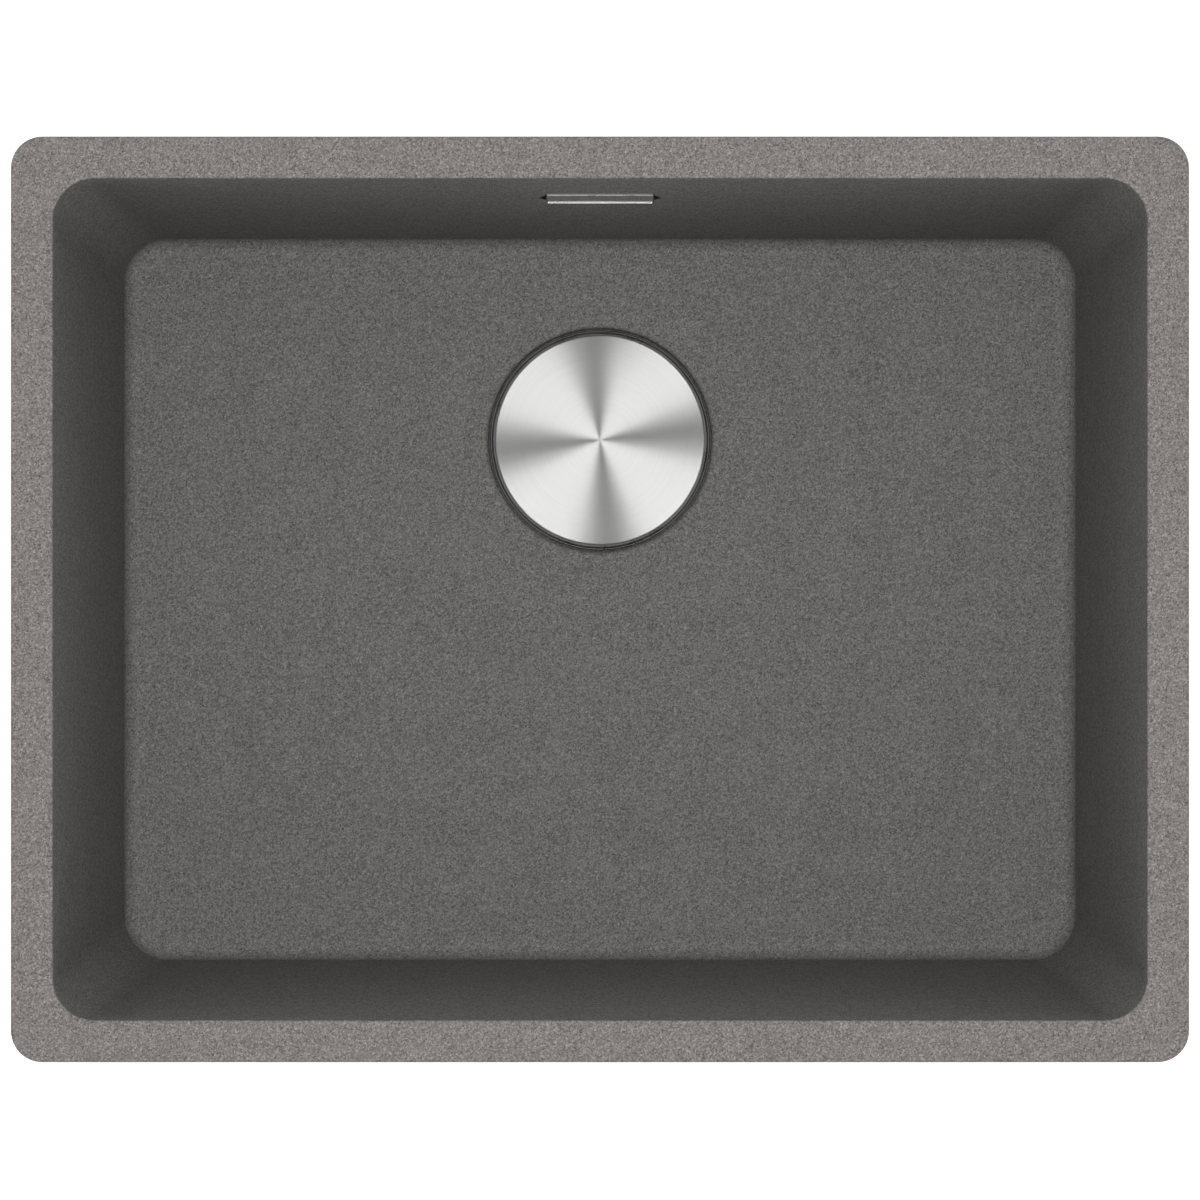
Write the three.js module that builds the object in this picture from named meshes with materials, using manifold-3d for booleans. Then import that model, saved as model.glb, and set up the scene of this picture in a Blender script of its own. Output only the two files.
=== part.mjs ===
// An undermount kitchen sink: one moulded granite-composite bowl with a flat rim that is glued and
// clamped under a worktop, its strainer waste with a lift-out basket and a lift-off round cover, and
// its overflow, which runs from a slot in the rear wall through a ribbed hose to the waste.
// Millimetres. +X is to the right, +Y to the rear wall and +Z up. The origin is the middle of the
// bowl's opening, level with the rim's top face, which is the underside of the worktop.
import * as THREE from "three";
import { mergeVertices } from "three/addons/utils/BufferGeometryUtils.js";
import Module from "manifold-3d";

const wasm = await Module();
wasm.setup();

// ---------------------------------------------------------------- driving dimensions
const seatGap = 0.3; // between two pieces that rest on each other
const brokenEdge = 1; // chamfer on small turned and moulded pieces
const bite = 1; // how far a cut or a joined solid reaches past the face it starts from

// Bowl and rim
const openingWidth = 520; // the bowl's mouth, left to right
const openingDepth = 400; // the bowl's mouth, front to rear
const openingCorner = 20; // radius of the mouth's corners
const rimWidth = 20; // flat rim round the mouth
const rimCorner = 15; // radius of the rim's outer corners
const rimThickness = 10;
const edgeRound = 1.2; // round of the rim's edges
const bowlDepth = 200; // rim to floor, at the drain
const floorFall = 3; // how much the floor falls to the drain
const wallThickness = 8;
const floorThickness = 9;
const wallDraft = THREE.MathUtils.degToRad(3.6); // each wall leans out by this
const floorRound = 8; // round between wall and floor
const footCorner = 23; // radius of the walls' corners at their foot
const rimRoot = 4; // round under the rim, where it meets the wall

// Drain in the floor
const drainFromRear = 116.5; // drain's axis to the mouth's rear edge
const drainHoleRadius = 45;
const recessGap = 0.8; // cup's rim to the recess's wall
const recessRound = 2.5; // round of the recess's upper edge
const recessDepth = 8.5;
const bossMargin = 9.5; // round boss under the floor, past the waste body's flange
const bossTaper = 6;

// Strainer cup and its gaskets
const gasketThickness = 1.3;
const cupSheet = 1.2;
const cupSeatWidth = 12.7; // cup's rim past the edge of the drain hole
const cupBead = 0.8; // rolled bead on the cup's edge
const cupClearance = 0.8; // cup to the drain hole
const cupTaper = 2;
const cupDepth = 40.6; // from the cup's rim to its flat bottom
const cupDimple = 3; // seat for the centre screw's head
const cupDimpleRadius = 12;
const cupHoleCount = 8;
const cupHoleRadius = 4.2;
const cupHoleRing = 20.5;
const cupRimBend = 2.4; // inner radius of the bend under the rim
const cupFootBend = 4; // inner radius of the bend at the foot
const gasketInnerGap = 1; // cup gasket to the edge of the drain hole
const gasketOuterGap = 0.5; // cup gasket to the cup's edge
const bodyGasketThickness = 3;

// Waste body
const bodyWall = 3;
const bodyChamber = 4.8; // room round the cup for the overflow water
const bodyFlange = 5; // thickness of the body's top flange
const bodyFlangeReach = 4.5; // top flange past the body's wall
const bodyHeight = 31; // top face to the funnel
const funnelHeight = 14;
const outletRadius = 23; // root of the outlet's screw thread
const outletBore = 20;
const outletLength = 22;
const threadPitch = 2.31;
const threadDepth = 0.9;
const spiderBossRadius = 11;
const spiderBossHeight = 17;
const spiderRib = 3; // thickness of a rib
const spiderRibHeight = 9.4;
const spiderRibDrop = 3; // boss's top to the ribs' top
const spiderRibs = 4;

// Centre screw and its brass nut
const screwRadius = 4;
const screwHeadRadius = 7;
const screwHeadHeight = 3.4;
const screwSlot = 1.8;
const screwLength = 16; // shank below the head
const nutRadius = 7.2; // over the corners
const nutHeight = 6;

// Basket
const basketSheet = 1;
const basketClearance = 0.8; // basket's rim to the cup
const basketTaper = 5;
const basketDrop = 4.5; // cup's rim to the basket's rim
const basketDepth = 27;
const basketRim = 2; // height of the basket's rolled rim
const basketBend = 3; // inner radius of the bend at the foot
const basketHoleRadius = 2;
const basketHoleRings = [
  { radius: 16, count: 10 },
  { radius: 25, count: 16 },
];
const basketSlotCount = 12;
const basketSlotWidth = 4.5;
const basketSlotHeight = 12;
const postRadius = 4.5;
const postFoot = 2; // cone where the post stands on the basket
const knobBelowRim = 1; // knob's top below the basket's rim
const knobRadius = 8;
const knobHeight = 10;
const knobFlare = 3; // height of the knob's cone
const knobWaist = 5.5;
const postThreadRadius = 3;
const plugMargin = 6.3; // seal past the cup's holes
const plugThickness = 3;
const plugLip = 3.4; // width of the sealing lip
const plugNutRadius = 6;
const plugNutHeight = 3.2;

// Round cover
const coverGap = 3.75; // cover's edge to the recess's wall
const coverThickness = 1.5;
const coverEdge = 0.6;
const coverProud = 0; // top of the cover above the floor
const carrierPlateGap = 5; // carrier's plate to the cup's wall
const carrierPlate = 1.4;
const carrierRibs = 6;
const carrierRibWidth = 3;
const carrierFootInset = 6.7; // feet to the edge of the cup's rim
const hubWall = 3.4;
const hubClearance = 0.3;
const hubGrip = 5; // how far the hub reaches down over the knob

// Overflow
const overflowBelowRim = 59; // rim to the slot's middle
const slotWidth = 59.2;
const slotHeight = 20;
const slotChamfer = 1.5; // broken edge of the slot, where the plate leaves it open
const plateWidth = 52.6;
const plateHeight = 24.8;
const plateSheet = 0.8;
const plateCorner = 2.5;
const plateProud = 0.2;
const plateLip = 1; // the lower edge's forward lip
const plateBevel = 0.4;
const rebateClearance = 0.4; // round the plate
const carrierFlange = 1; // overflow carrier's front flange
const carrierBridge = 3.2; // overflow carrier's bridge through the slot
const carrierWidth = 46;
const bridgeClearance = 0.8; // bridge to the slot, above and below
const pegRadius = 1.5;
const pegLength = 2.4;
const pegSpacing = 12; // from one peg to the other
const fixingRadius = 1.7;
const fixingHeadRadius = 3.2;
const fixingHead = 1.6;
const fixingChamfer = 0.6;
const fixingCross = 0.8; // width of the cross in the screw's head
const fixingSpacing = 30; // from one overflow screw to the other
const fixingBite = 9; // screw's length in the hood's boss
const hoodRoom = 1.5; // gasket's and flange's opening round the slot
const hoodGasket = 2;
const hoodGasketWidth = 4;
const hoodFlange = 3;
const hoodWall = 2;
const hoodBossRadius = 4;
const hoodTopDepth = 12.4; // hood behind its flange, at the top
const hoodBottomDepth = 19.4; // and at the bottom
const hoodSlopeStart = 11; // height of the upright part of its back

// Overflow hose, its spigots and clips
const spigotRadius = 8.5;
const spigotBore = 6.9;
const spigotLength = 22;
const spigotFromWall = 12; // spigot's axis to the wall's outer face
const inletBelowTop = 17; // side inlet's axis below the waste body's top face
const hoseFit = 0.3;
const hoseCuff = 28; // length of the plain cuff at each end
const hoseCuffWall = 1.2;
const hoseBore = 8.2;
const hoseValley = 9.4;
const hoseCrest = 11;
const ribPitch = 5;
const hoseBend = 50; // radius of the hose's bend
const hoseSides = 8;
const clipSheet = 0.9;
const clipWidth = 9;
const clipHousing = 6; // how far the worm housing stands out
const clipHousingLength = 12;
const clipScrewRadius = 2.6;
const clipScrewReach = 9; // screw's head past the housing's middle

// ---------------------------------------------------------------- places and levels that follow
const drainY = openingDepth / 2 - drainFromRear;
const halfWidth = openingWidth / 2;
const halfDepth = openingDepth / 2;
const lean = Math.tan(wallDraft);

// Radii round the drain, from the hole outwards.
const cupOuterRadius = drainHoleRadius - cupClearance;
const cupInnerRadius = cupOuterRadius - cupSheet;
const cupRimRadius = drainHoleRadius + cupSeatWidth;
const recessRadius = cupRimRadius + recessGap;
const bodyInnerRadius = cupOuterRadius + bodyChamber;
const bodyOuterRadius = bodyInnerRadius + bodyWall;
const bodyFlangeRadius = bodyOuterRadius + bodyFlangeReach;
const bossRadius = bodyFlangeRadius + bossMargin;
const basketRimRadius = cupInnerRadius - basketClearance;
const plugRadius = cupHoleRing + cupHoleRadius + plugMargin;
const coverRadius = recessRadius - coverGap;
const carrierPlateRadius = cupInnerRadius - carrierPlateGap;
const carrierReach = cupRimRadius - carrierFootInset;

// Heights in the waste, counted from the floor at the drain.
const gasketTop = -recessDepth + seatGap + gasketThickness;
const cupRimUnder = gasketTop + seatGap;
const cupRimTop = cupRimUnder + cupSheet;
const cupFloor = cupRimTop - cupDepth;
const cupDimpleFloor = cupFloor - cupDimple;
const bossUnder = -recessDepth - floorThickness;
const bodyGasketTop = bossUnder - seatGap;
const bodyTop = bodyGasketTop - bodyGasketThickness - seatGap;
const funnelTop = bodyTop - bodyHeight;
const outletTop = funnelTop - funnelHeight;
const outletEnd = outletTop - outletLength;
const spiderTop = cupDimpleFloor - cupSheet - seatGap;
const spiderUnder = spiderTop - spiderBossHeight;
const basketTop = cupRimTop - basketDrop;
const basketFloor = basketTop - basketDepth;
const basketUnder = basketFloor - basketSheet;
const plugTop = basketUnder - seatGap;
const plugUnder = plugTop - plugThickness;
const coverTop = coverProud;
const coverUnder = coverTop - coverThickness;
const carrierTop = coverUnder - seatGap;
const carrierUnder = carrierTop - carrierPlate;
const feetUnder = cupRimTop + seatGap;
const knobTop = basketTop - knobBelowRim;
const hubUnder = knobTop - hubGrip;

// ---------------------------------------------------------------- shaping tools
const roundSegments = 36;
const smallSegments = 16;
const hubSegments = 24;
const coverSegments = 60;

// A surface that closes on itself, from outlines with the same number of points.
function loftLoop(outlines) {
  const count = outlines[0].length;
  const position = outlines.flatMap((outline) => outline.flatMap((p) => [p.x, p.y, p.z]));
  const index = [];
  outlines.forEach((_, row) => {
    const next = (row + 1) % outlines.length;
    for (let i = 0; i < count; i++) {
      const j = (i + 1) % count;
      const [a, b] = [row * count + i, row * count + j];
      const [c, d] = [next * count + i, next * count + j];
      index.push(a, b, d, a, d, c);
    }
  });
  const geometry = new THREE.BufferGeometry();
  geometry.setAttribute("position", new THREE.Float32BufferAttribute(position, 3));
  geometry.setIndex(index);
  return geometry;
}

// A turned shape: [radius, height] pairs spun round the Z axis, anticlockwise round the section.
function turned(profile, segments = roundSegments) {
  const points = profile.map(([radius, height]) => new THREE.Vector2(radius, height));
  const [first, last] = [points[0], points[points.length - 1]];
  if (first.x > 0 || last.x > 0) points.push(first.clone());
  return new THREE.LatheGeometry(points, segments).rotateX(Math.PI / 2);
}

// Points of an arc, as [radius, height] pairs, from one angle to another in degrees.
function arc([centreX, centreY], radius, from, to, steps = 2) {
  return Array.from({ length: steps + 1 }, (_, i) => {
    const angle = THREE.MathUtils.degToRad(from + ((to - from) * i) / steps);
    return [centreX + radius * Math.cos(angle), centreY + radius * Math.sin(angle)];
  });
}

function rod(radius, from, to, segments = smallSegments) {
  const length = to - from;
  const geometry = new THREE.CylinderGeometry(radius, radius, length, segments);
  return geometry.rotateX(Math.PI / 2).translate(0, 0, from + length / 2);
}

function block(width, depth, height, x = 0, y = 0, z = 0) {
  return new THREE.BoxGeometry(width, depth, height).translate(x, y, z);
}

function roundedRectangle(width, height, radius) {
  const [w, h] = [width / 2, height / 2];
  const r = Math.min(radius, w, h);
  const shape = new THREE.Shape();
  shape.moveTo(-w + r, -h);
  shape.lineTo(w - r, -h);
  shape.absarc(w - r, -h + r, r, -Math.PI / 2, 0);
  shape.lineTo(w, h - r);
  shape.absarc(w - r, h - r, r, 0, Math.PI / 2);
  shape.lineTo(-w + r, h);
  shape.absarc(-w + r, h - r, r, Math.PI / 2, Math.PI);
  shape.lineTo(-w, -h + r);
  shape.absarc(-w + r, -h + r, r, Math.PI, Math.PI * 1.5);
  return shape;
}

// A flat outline drawn in X and Z, pushed from one Y to another.
function slab(shape, fromY, toY, curveSegments = 5) {
  const options = { depth: toY - fromY, bevelEnabled: false, curveSegments };
  return new THREE.ExtrudeGeometry(shape, options).rotateX(Math.PI / 2).translate(0, toY, 0);
}

// A cutter that breaks the edge of a hole with this outline: wide in front of the wall, and
// narrowing to the outline just inside it.
function chamferedMouth(shape, size, reach, curveSegments = 5) {
  const options = {
    depth: reach,
    bevelThickness: size,
    bevelSize: size,
    bevelSegments: 1,
    curveSegments,
  };
  return new THREE.ExtrudeGeometry(shape, options).rotateX(Math.PI / 2);
}

// A geometry as a closed solid, for cutting and joining.
function solid(geometry) {
  const bare = geometry.index ? geometry.toNonIndexed() : geometry.clone();
  bare.deleteAttribute("normal");
  bare.deleteAttribute("uv");
  const merged = mergeVertices(bare, 1e-4);
  return new wasm.Manifold(
    new wasm.Mesh({
      numProp: 3,
      vertProperties: new Float32Array(merged.attributes.position.array),
      triVerts: new Uint32Array(merged.index.array),
    }),
  );
}

const joined = (...geometries) => geometries.map(solid).reduce((all, piece) => all.add(piece));

function geometryOf(shape) {
  const mesh = shape.getMesh();
  const geometry = new THREE.BufferGeometry();
  geometry.setAttribute("position", new THREE.BufferAttribute(mesh.vertProperties, 3));
  geometry.setIndex(new THREE.BufferAttribute(mesh.triVerts, 1));
  geometry.computeVertexNormals();
  return geometry;
}

function around(count, make, start = 0) {
  return Array.from({ length: count }, (_, i) => make(start + (i * 2 * Math.PI) / count));
}

// ---------------------------------------------------------------- materials
const finish = (color, roughness, metalness = 0) =>
  new THREE.MeshStandardMaterial({ color, roughness, metalness });
const granite = finish(0x827e7d, 0.6);
const brushedSteel = finish(0xc9c9c7, 0.32, 1);
const polishedSteel = finish(0xbfc0c0, 0.16, 1);
const brass = finish(0xb08d4a, 0.35, 1);
const blackRubber = finish(0x1d1d1e, 0.85);
const blackPlastic = finish(0x26272a, 0.5);
const whitePlastic = finish(0xd9dad8, 0.45);
const greyHose = finish(0x9a9c9e, 0.55);

function piece(name, geometry, material) {
  const mesh = new THREE.Mesh(geometry, material);
  mesh.name = name;
  return mesh;
}

// ---------------------------------------------------------------- bowl
// How far the inner wall stands inside the mouth at a depth below the rim.
const wallInset = (depth) => depth * lean;

// The section from wall to floor: a straight leaning wall, then a round, as [inset, z] pairs.
function wallFoot(floorZ, radius, offset) {
  const centreZ = floorZ + radius;
  const centreInset = wallInset(-centreZ) - offset + radius / Math.cos(wallDraft);
  const from = THREE.MathUtils.radToDeg(wallDraft);
  return arc([0, 0], radius, -from, -90, 4).map(([x, z]) => [centreInset - x, centreZ + z]);
}

// The bowl is lofted between outlines whose points keep their order: four round corners, and
// between them points on each side that stand at even angles round the drain, so that the same
// points make a round recess.
const cornerSteps = 5;
const angleStep = THREE.MathUtils.degToRad(8);
const corners = [
  { x: 1, y: 1, start: 0 },
  { x: -1, y: 1, start: Math.PI / 2 },
  { x: -1, y: -1, start: Math.PI },
  { x: 1, y: -1, start: Math.PI * 1.5 },
];

function cornerPoints(corner, halfX, halfY, radius) {
  return Array.from({ length: cornerSteps + 1 }, (_, i) => {
    const angle = corner.start + (i * Math.PI) / 2 / cornerSteps;
    const x = corner.x * (halfX - radius) + radius * Math.cos(angle);
    const y = corner.y * (halfY - radius) + radius * Math.sin(angle);
    return new THREE.Vector2(x, y);
  });
}

// Shares of the side from one corner to the next at which its points stand.
function sideShares(from, to) {
  const drain = new THREE.Vector2(0, drainY);
  const start = from.clone().sub(drain).angle();
  const turn = to.clone().sub(drain).angle() - start;
  const sweep = turn < 0 ? turn + 2 * Math.PI : turn;
  const steps = Math.max(1, Math.round(sweep / angleStep));
  const side = to.clone().sub(from);
  return Array.from({ length: steps - 1 }, (_, i) => {
    const angle = start + (sweep * (i + 1)) / steps;
    const ray = new THREE.Vector2(Math.cos(angle), Math.sin(angle));
    return drain.clone().sub(from).cross(ray) / side.cross(ray);
  });
}

const perimeterZ = floorFall - bowlDepth;
const innerFoot = wallFoot(perimeterZ, floorRound, 0);
const outerFoot = wallFoot(perimeterZ - floorThickness, floorRound + wallThickness, wallThickness);
const footInset = innerFoot[0][0];
const floorInset = innerFoot[innerFoot.length - 1][0];
const floorCorner = footCorner + footInset - floorInset;
const floorCorners = corners.map((corner) =>
  cornerPoints(corner, halfWidth - floorInset, halfDepth - floorInset, floorCorner),
);
const shares = floorCorners.map((points, i) =>
  sideShares(points[cornerSteps], floorCorners[(i + 1) % corners.length][0]),
);

function rectangleOutline(inset, radius, z) {
  const made = corners.map((corner) =>
    cornerPoints(corner, halfWidth - inset, halfDepth - inset, radius),
  );
  return made.flatMap((points, i) => {
    const [from, to] = [points[cornerSteps], made[(i + 1) % corners.length][0]];
    const between = shares[i].map((share) => from.clone().lerp(to, share));
    return [...points, ...between].map((p) => new THREE.Vector3(p.x, p.y, z));
  });
}

// Directions in which the outline's points stand, seen from the drain.
const directions = rectangleOutline(floorInset, floorCorner, 0).map((p) =>
  new THREE.Vector2(p.x, p.y - drainY).angle(),
);

function drainOutline(radius, z) {
  return directions.map(
    (a) => new THREE.Vector3(radius * Math.cos(a), drainY + radius * Math.sin(a), z),
  );
}

function bowlOutlines() {
  const edge = arc([0, 0], edgeRound, 90, 180, 2);
  const rimUnder = -rimThickness;
  const rootInset = wallInset(rimThickness + rimRoot) - wallThickness;
  const innerEdge = edge.map(([x, z]) =>
    rectangleOutline(-edgeRound - x, openingCorner + edgeRound + x, z - edgeRound),
  );
  const cornerAt = (inset) => footCorner + footInset - inset;
  const foot = innerFoot.map(([inset, z]) => rectangleOutline(inset, cornerAt(inset), z));
  const recess = [
    ...arc([recessRadius + recessRound, -recessRound], recessRound, 90, 180, 3),
    [recessRadius, -recessDepth],
    [drainHoleRadius, -recessDepth],
    [drainHoleRadius, bossUnder],
    [bossRadius, bossUnder],
    [bossRadius + bossTaper, -floorThickness],
  ].map(([radius, z]) => drainOutline(radius, z - bowlDepth));
  const underside = outerFoot
    .map(([inset, z]) => rectangleOutline(inset, cornerAt(inset), z))
    .reverse();
  const root = arc([0, 0], rimRoot, 180, 90, 2).map(([x, z]) =>
    rectangleOutline(
      rootInset - rimRoot - x,
      openingCorner + wallThickness + rimRoot + x,
      rimUnder - rimRoot + z,
    ),
  );
  const outerEdge = [
    [edgeRound, rimUnder],
    [0, rimUnder + edgeRound],
    ...arc([edgeRound, -edgeRound], edgeRound, 180, 90, 2),
  ].map(([inset, z]) => rectangleOutline(inset - rimWidth, rimCorner - inset, z));
  return [...innerEdge, ...foot, ...recess, ...underside, ...root, ...outerEdge];
}

// The overflow's own frame: its origin is on the rear wall's inner face at the slot's middle,
// +Y points into the wall and +Z up along it.
const overflow = new THREE.Group();
overflow.position.set(0, halfDepth - wallInset(overflowBelowRim), -overflowBelowRim);
overflow.rotation.x = -wallDraft;
overflow.updateMatrixWorld(true);
const wallBack = wallThickness * Math.cos(wallDraft);
const rebateDepth = plateSheet - plateProud + seatGap + carrierFlange + seatGap;

function bowlGeometry() {
  const through = wallThickness * 2;
  const slot = slab(roundedRectangle(slotWidth, slotHeight, slotHeight / 2), -through, through);
  const mouth = chamferedMouth(
    roundedRectangle(slotWidth, slotHeight, slotHeight / 2),
    slotChamfer,
    through,
  );
  const rebate = slab(
    roundedRectangle(
      plateWidth + 2 * rebateClearance,
      plateHeight + 2 * rebateClearance,
      plateCorner + rebateClearance,
    ),
    -through,
    rebateDepth,
  );
  return geometryOf(
    solid(loftLoop(bowlOutlines()))
      .subtract(solid(slot.applyMatrix4(overflow.matrixWorld)))
      .subtract(solid(mouth.applyMatrix4(overflow.matrixWorld)))
      .subtract(solid(rebate.applyMatrix4(overflow.matrixWorld))),
  );
}

// ---------------------------------------------------------------- waste
function flatRing(inner, outer, low, high) {
  return turned([
    [inner, low],
    [outer, low],
    [outer, high],
    [inner, high],
  ]);
}

// Pressed cup: a flat rim with a rolled bead, a leaning wall and a flat bottom with a dimple.
function strainerCupGeometry() {
  const shoulder = cupInnerRadius + cupRimBend;
  const foot = cupInnerRadius - cupTaper;
  const beadMiddle = cupRimRadius - cupSheet / 2;
  const inside = [
    ...arc([foot - cupFootBend, cupFloor + cupFootBend], cupFootBend, -90, 0),
    ...arc([shoulder, cupRimTop - cupRimBend], cupRimBend, 180, 90),
    [cupRimRadius - cupSheet, cupRimTop],
    ...arc([beadMiddle, cupRimTop + cupBead - cupSheet / 2], cupSheet / 2, 180, 0),
  ];
  const outside = [
    [cupRimRadius, cupRimUnder],
    ...arc([shoulder, cupRimTop - cupRimBend], cupRimBend - cupSheet, 90, 180),
    ...arc([foot - cupFootBend, cupFloor + cupFootBend], cupFootBend + cupSheet, 0, -90),
  ];
  const dimple = [
    [cupDimpleRadius + cupDimple / 2, cupFloor - cupSheet],
    [cupDimpleRadius, cupDimpleFloor - cupSheet],
    [0, cupDimpleFloor - cupSheet],
    [0, cupDimpleFloor],
    [cupDimpleRadius - cupSheet, cupDimpleFloor],
    [cupDimpleRadius + cupDimple / 2 - cupSheet / 2, cupFloor],
  ];
  const shell = [...dimple.slice(3), ...inside, ...outside, ...dimple.slice(0, 3)].reverse();
  const hole = (radius) => rod(radius, cupDimpleFloor - 2 * cupSheet, cupFloor + cupSheet);
  const holes = around(cupHoleCount, (a) =>
    hole(cupHoleRadius).translate(cupHoleRing * Math.cos(a), cupHoleRing * Math.sin(a), 0),
  );
  const screwHole = hole(screwRadius + 2 * seatGap);
  return geometryOf(solid(turned(shell)).subtract(joined(screwHole, ...holes)));
}

// A screw thread's grid: the radius rises and falls along the axis and winds round it.
function threadedTube(root, bore, from, to, sides = smallSegments) {
  const rowsPerTurn = 4;
  const rows = Math.round(((to - from) / threadPitch) * rowsPerTurn);
  const runOut = threadPitch;
  const ring = (radiusAt, z) =>
    Array.from({ length: sides }, (_, i) => {
      const angle = (i * 2 * Math.PI) / sides;
      const radius = radiusAt(angle);
      return new THREE.Vector3(radius * Math.cos(angle), radius * Math.sin(angle), z);
    });
  const ridge = (turns) => Math.max(0, Math.cos(2 * Math.PI * turns)) * threadDepth;
  const outer = Array.from({ length: rows + 1 }, (_, i) => {
    const z = from + ((to - from) * i) / rows;
    const fade = Math.min(1, Math.max(0, Math.min(z - from, to - z) / runOut));
    return ring((a) => root + fade * ridge((z - from) / threadPitch - a / (2 * Math.PI)), z);
  });
  return loftLoop([...outer, ring(() => bore, to), ring(() => bore, from)]);
}

// Moulded waste body: top flange, round chamber, funnel, threaded outlet, a spider that takes the
// centre screw, and a side inlet for the overflow.
function wasteBodyGeometry() {
  const chamber = turned([
    [bodyInnerRadius, bodyTop],
    [bodyInnerRadius, funnelTop],
    [outletBore, outletTop],
    [outletBore, outletTop - bite],
    [outletRadius, outletTop - bite],
    [outletRadius, outletTop],
    [bodyOuterRadius, funnelTop - bodyWall / 2],
    [bodyOuterRadius, bodyTop - bodyFlange],
    [bodyFlangeRadius, bodyTop - bodyFlange],
    [bodyFlangeRadius, bodyTop],
  ]);
  const outlet = threadedTube(outletRadius, outletBore, outletEnd, outletTop + bite);
  const boss = rod(spiderBossRadius, spiderUnder, spiderTop, hubSegments);
  const midWall = bodyInnerRadius + bodyWall / 2;
  const ribs = around(spiderRibs, (angle) =>
    block(midWall, spiderRib, spiderRibHeight)
      .translate(midWall / 2, 0, spiderTop - spiderRibDrop - spiderRibHeight / 2)
      .rotateZ(angle + Math.PI / 4),
  );
  const withinWalls = turned([
    [0, outletEnd],
    [outletBore + bodyWall / 2, outletEnd],
    [outletBore + bodyWall / 2, outletTop],
    [midWall, funnelTop],
    [midWall, bodyTop],
    [0, bodyTop],
  ]);
  const spider = joined(boss, ...ribs).intersect(solid(withinWalls));
  const inlet = (radius, from) =>
    rod(radius, from, bodyOuterRadius + spigotLength)
      .rotateX(-Math.PI / 2)
      .translate(0, 0, bodyTop - inletBelowTop);
  const screwHole = rod(screwRadius + seatGap, spiderUnder - bite, spiderTop + bite);
  const nutPocket = rod(nutRadius + seatGap, spiderUnder - bite, spiderUnder + nutHeight, 6);
  return geometryOf(
    joined(chamber, outlet, inlet(spigotRadius, midWall))
      .subtract(solid(inlet(spigotBore, bodyInnerRadius - bodyWall).translate(0, bite, 0)))
      .add(spider)
      .subtract(solid(screwHole))
      .subtract(solid(nutPocket)),
  );
}

function centreScrewGeometry() {
  const under = cupDimpleFloor + seatGap;
  const top = under + screwHeadHeight;
  const blank = turned(
    [
      [0, under - screwLength],
      [screwRadius - brokenEdge, under - screwLength],
      [screwRadius, under - screwLength + brokenEdge],
      [screwRadius, under],
      [screwHeadRadius, under],
      [screwHeadRadius, top - brokenEdge],
      [screwHeadRadius - brokenEdge, top],
      [0, top],
    ],
    smallSegments,
  );
  const slot = block(2 * screwHeadRadius + bite, screwSlot, screwSlot, 0, 0, top);
  return geometryOf(solid(blank).subtract(solid(slot)));
}

function centreNutGeometry() {
  const hexagon = rod(nutRadius, spiderUnder, spiderUnder + nutHeight - seatGap, 6);
  const hole = rod(screwRadius + seatGap, spiderUnder - bite, spiderUnder + nutHeight + bite);
  return geometryOf(solid(hexagon).subtract(solid(hole)));
}

// ---------------------------------------------------------------- basket
function basketGeometry() {
  const foot = basketRimRadius - basketSheet - basketTaper;
  const inside = [
    [0, basketFloor],
    ...arc([foot - basketBend, basketFloor + basketBend], basketBend, -90, 0),
    [basketRimRadius - 2 * basketSheet, basketTop - basketRim],
  ];
  const rim = arc(
    [basketRimRadius - basketSheet, basketTop - basketRim / 2],
    basketSheet,
    180,
    -60,
    4,
  );
  const outside = [
    [basketRimRadius - basketSheet, basketTop - basketRim - basketSheet],
    ...arc([foot - basketBend, basketFloor + basketBend], basketBend + basketSheet, 0, -90),
    [0, basketUnder],
  ];
  const shell = turned([...inside, ...rim, ...outside].reverse());
  const drill = (radius, ring, angle) =>
    rod(radius, basketUnder - bite, basketFloor + bite, 6).translate(
      ring * Math.cos(angle),
      ring * Math.sin(angle),
      0,
    );
  const holes = basketHoleRings.flatMap(({ radius, count }) =>
    around(count, (angle) => drill(basketHoleRadius, radius, angle)),
  );
  const slotMiddle = (basketTop - basketRim + basketFloor) / 2;
  const slotShape = roundedRectangle(basketSlotWidth, basketSlotHeight, basketSlotWidth / 2);
  const slots = around(
    basketSlotCount,
    (angle) =>
      slab(slotShape, foot - basketBend, basketRimRadius + bite, 1)
        .translate(0, 0, slotMiddle)
        .rotateZ(angle),
    Math.PI / basketSlotCount,
  );
  const postHole = rod(postThreadRadius + seatGap, basketUnder - bite, basketFloor + bite);
  return geometryOf(
    solid(shell)
      .subtract(joined(postHole, ...holes))
      .subtract(joined(...slots)),
  );
}

// Moulded post with a waisted finger knob, and a threaded end that holds the plug.
function postGeometry() {
  const low = basketFloor + seatGap;
  const knobUnder = knobTop - knobHeight;
  const end = plugUnder - seatGap - plugNutHeight;
  return turned(
    [
      [0, end],
      [postThreadRadius, end],
      [postThreadRadius, low],
      [postRadius + postFoot, low],
      [postRadius, low + postFoot],
      [postRadius, knobUnder],
      [knobWaist, knobUnder],
      [knobRadius, knobUnder + knobFlare],
      [knobRadius, knobTop - brokenEdge],
      [knobRadius - brokenEdge, knobTop],
      [0, knobTop],
    ],
    smallSegments,
  );
}

// Rubber plug: a disc that hangs from the basket, with a lip that meets the cup's floor.
function plugGeometry() {
  const seat = cupFloor + seatGap;
  const hole = postThreadRadius + seatGap;
  return turned([
    [hole, plugUnder],
    [plugRadius - 2 * plugLip, plugUnder],
    [plugRadius - plugLip, seat],
    [plugRadius - plugLip / 2, seat],
    [plugRadius, plugUnder],
    [plugRadius, plugTop - brokenEdge],
    [plugRadius - brokenEdge, plugTop],
    [hole, plugTop],
  ]);
}

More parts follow.
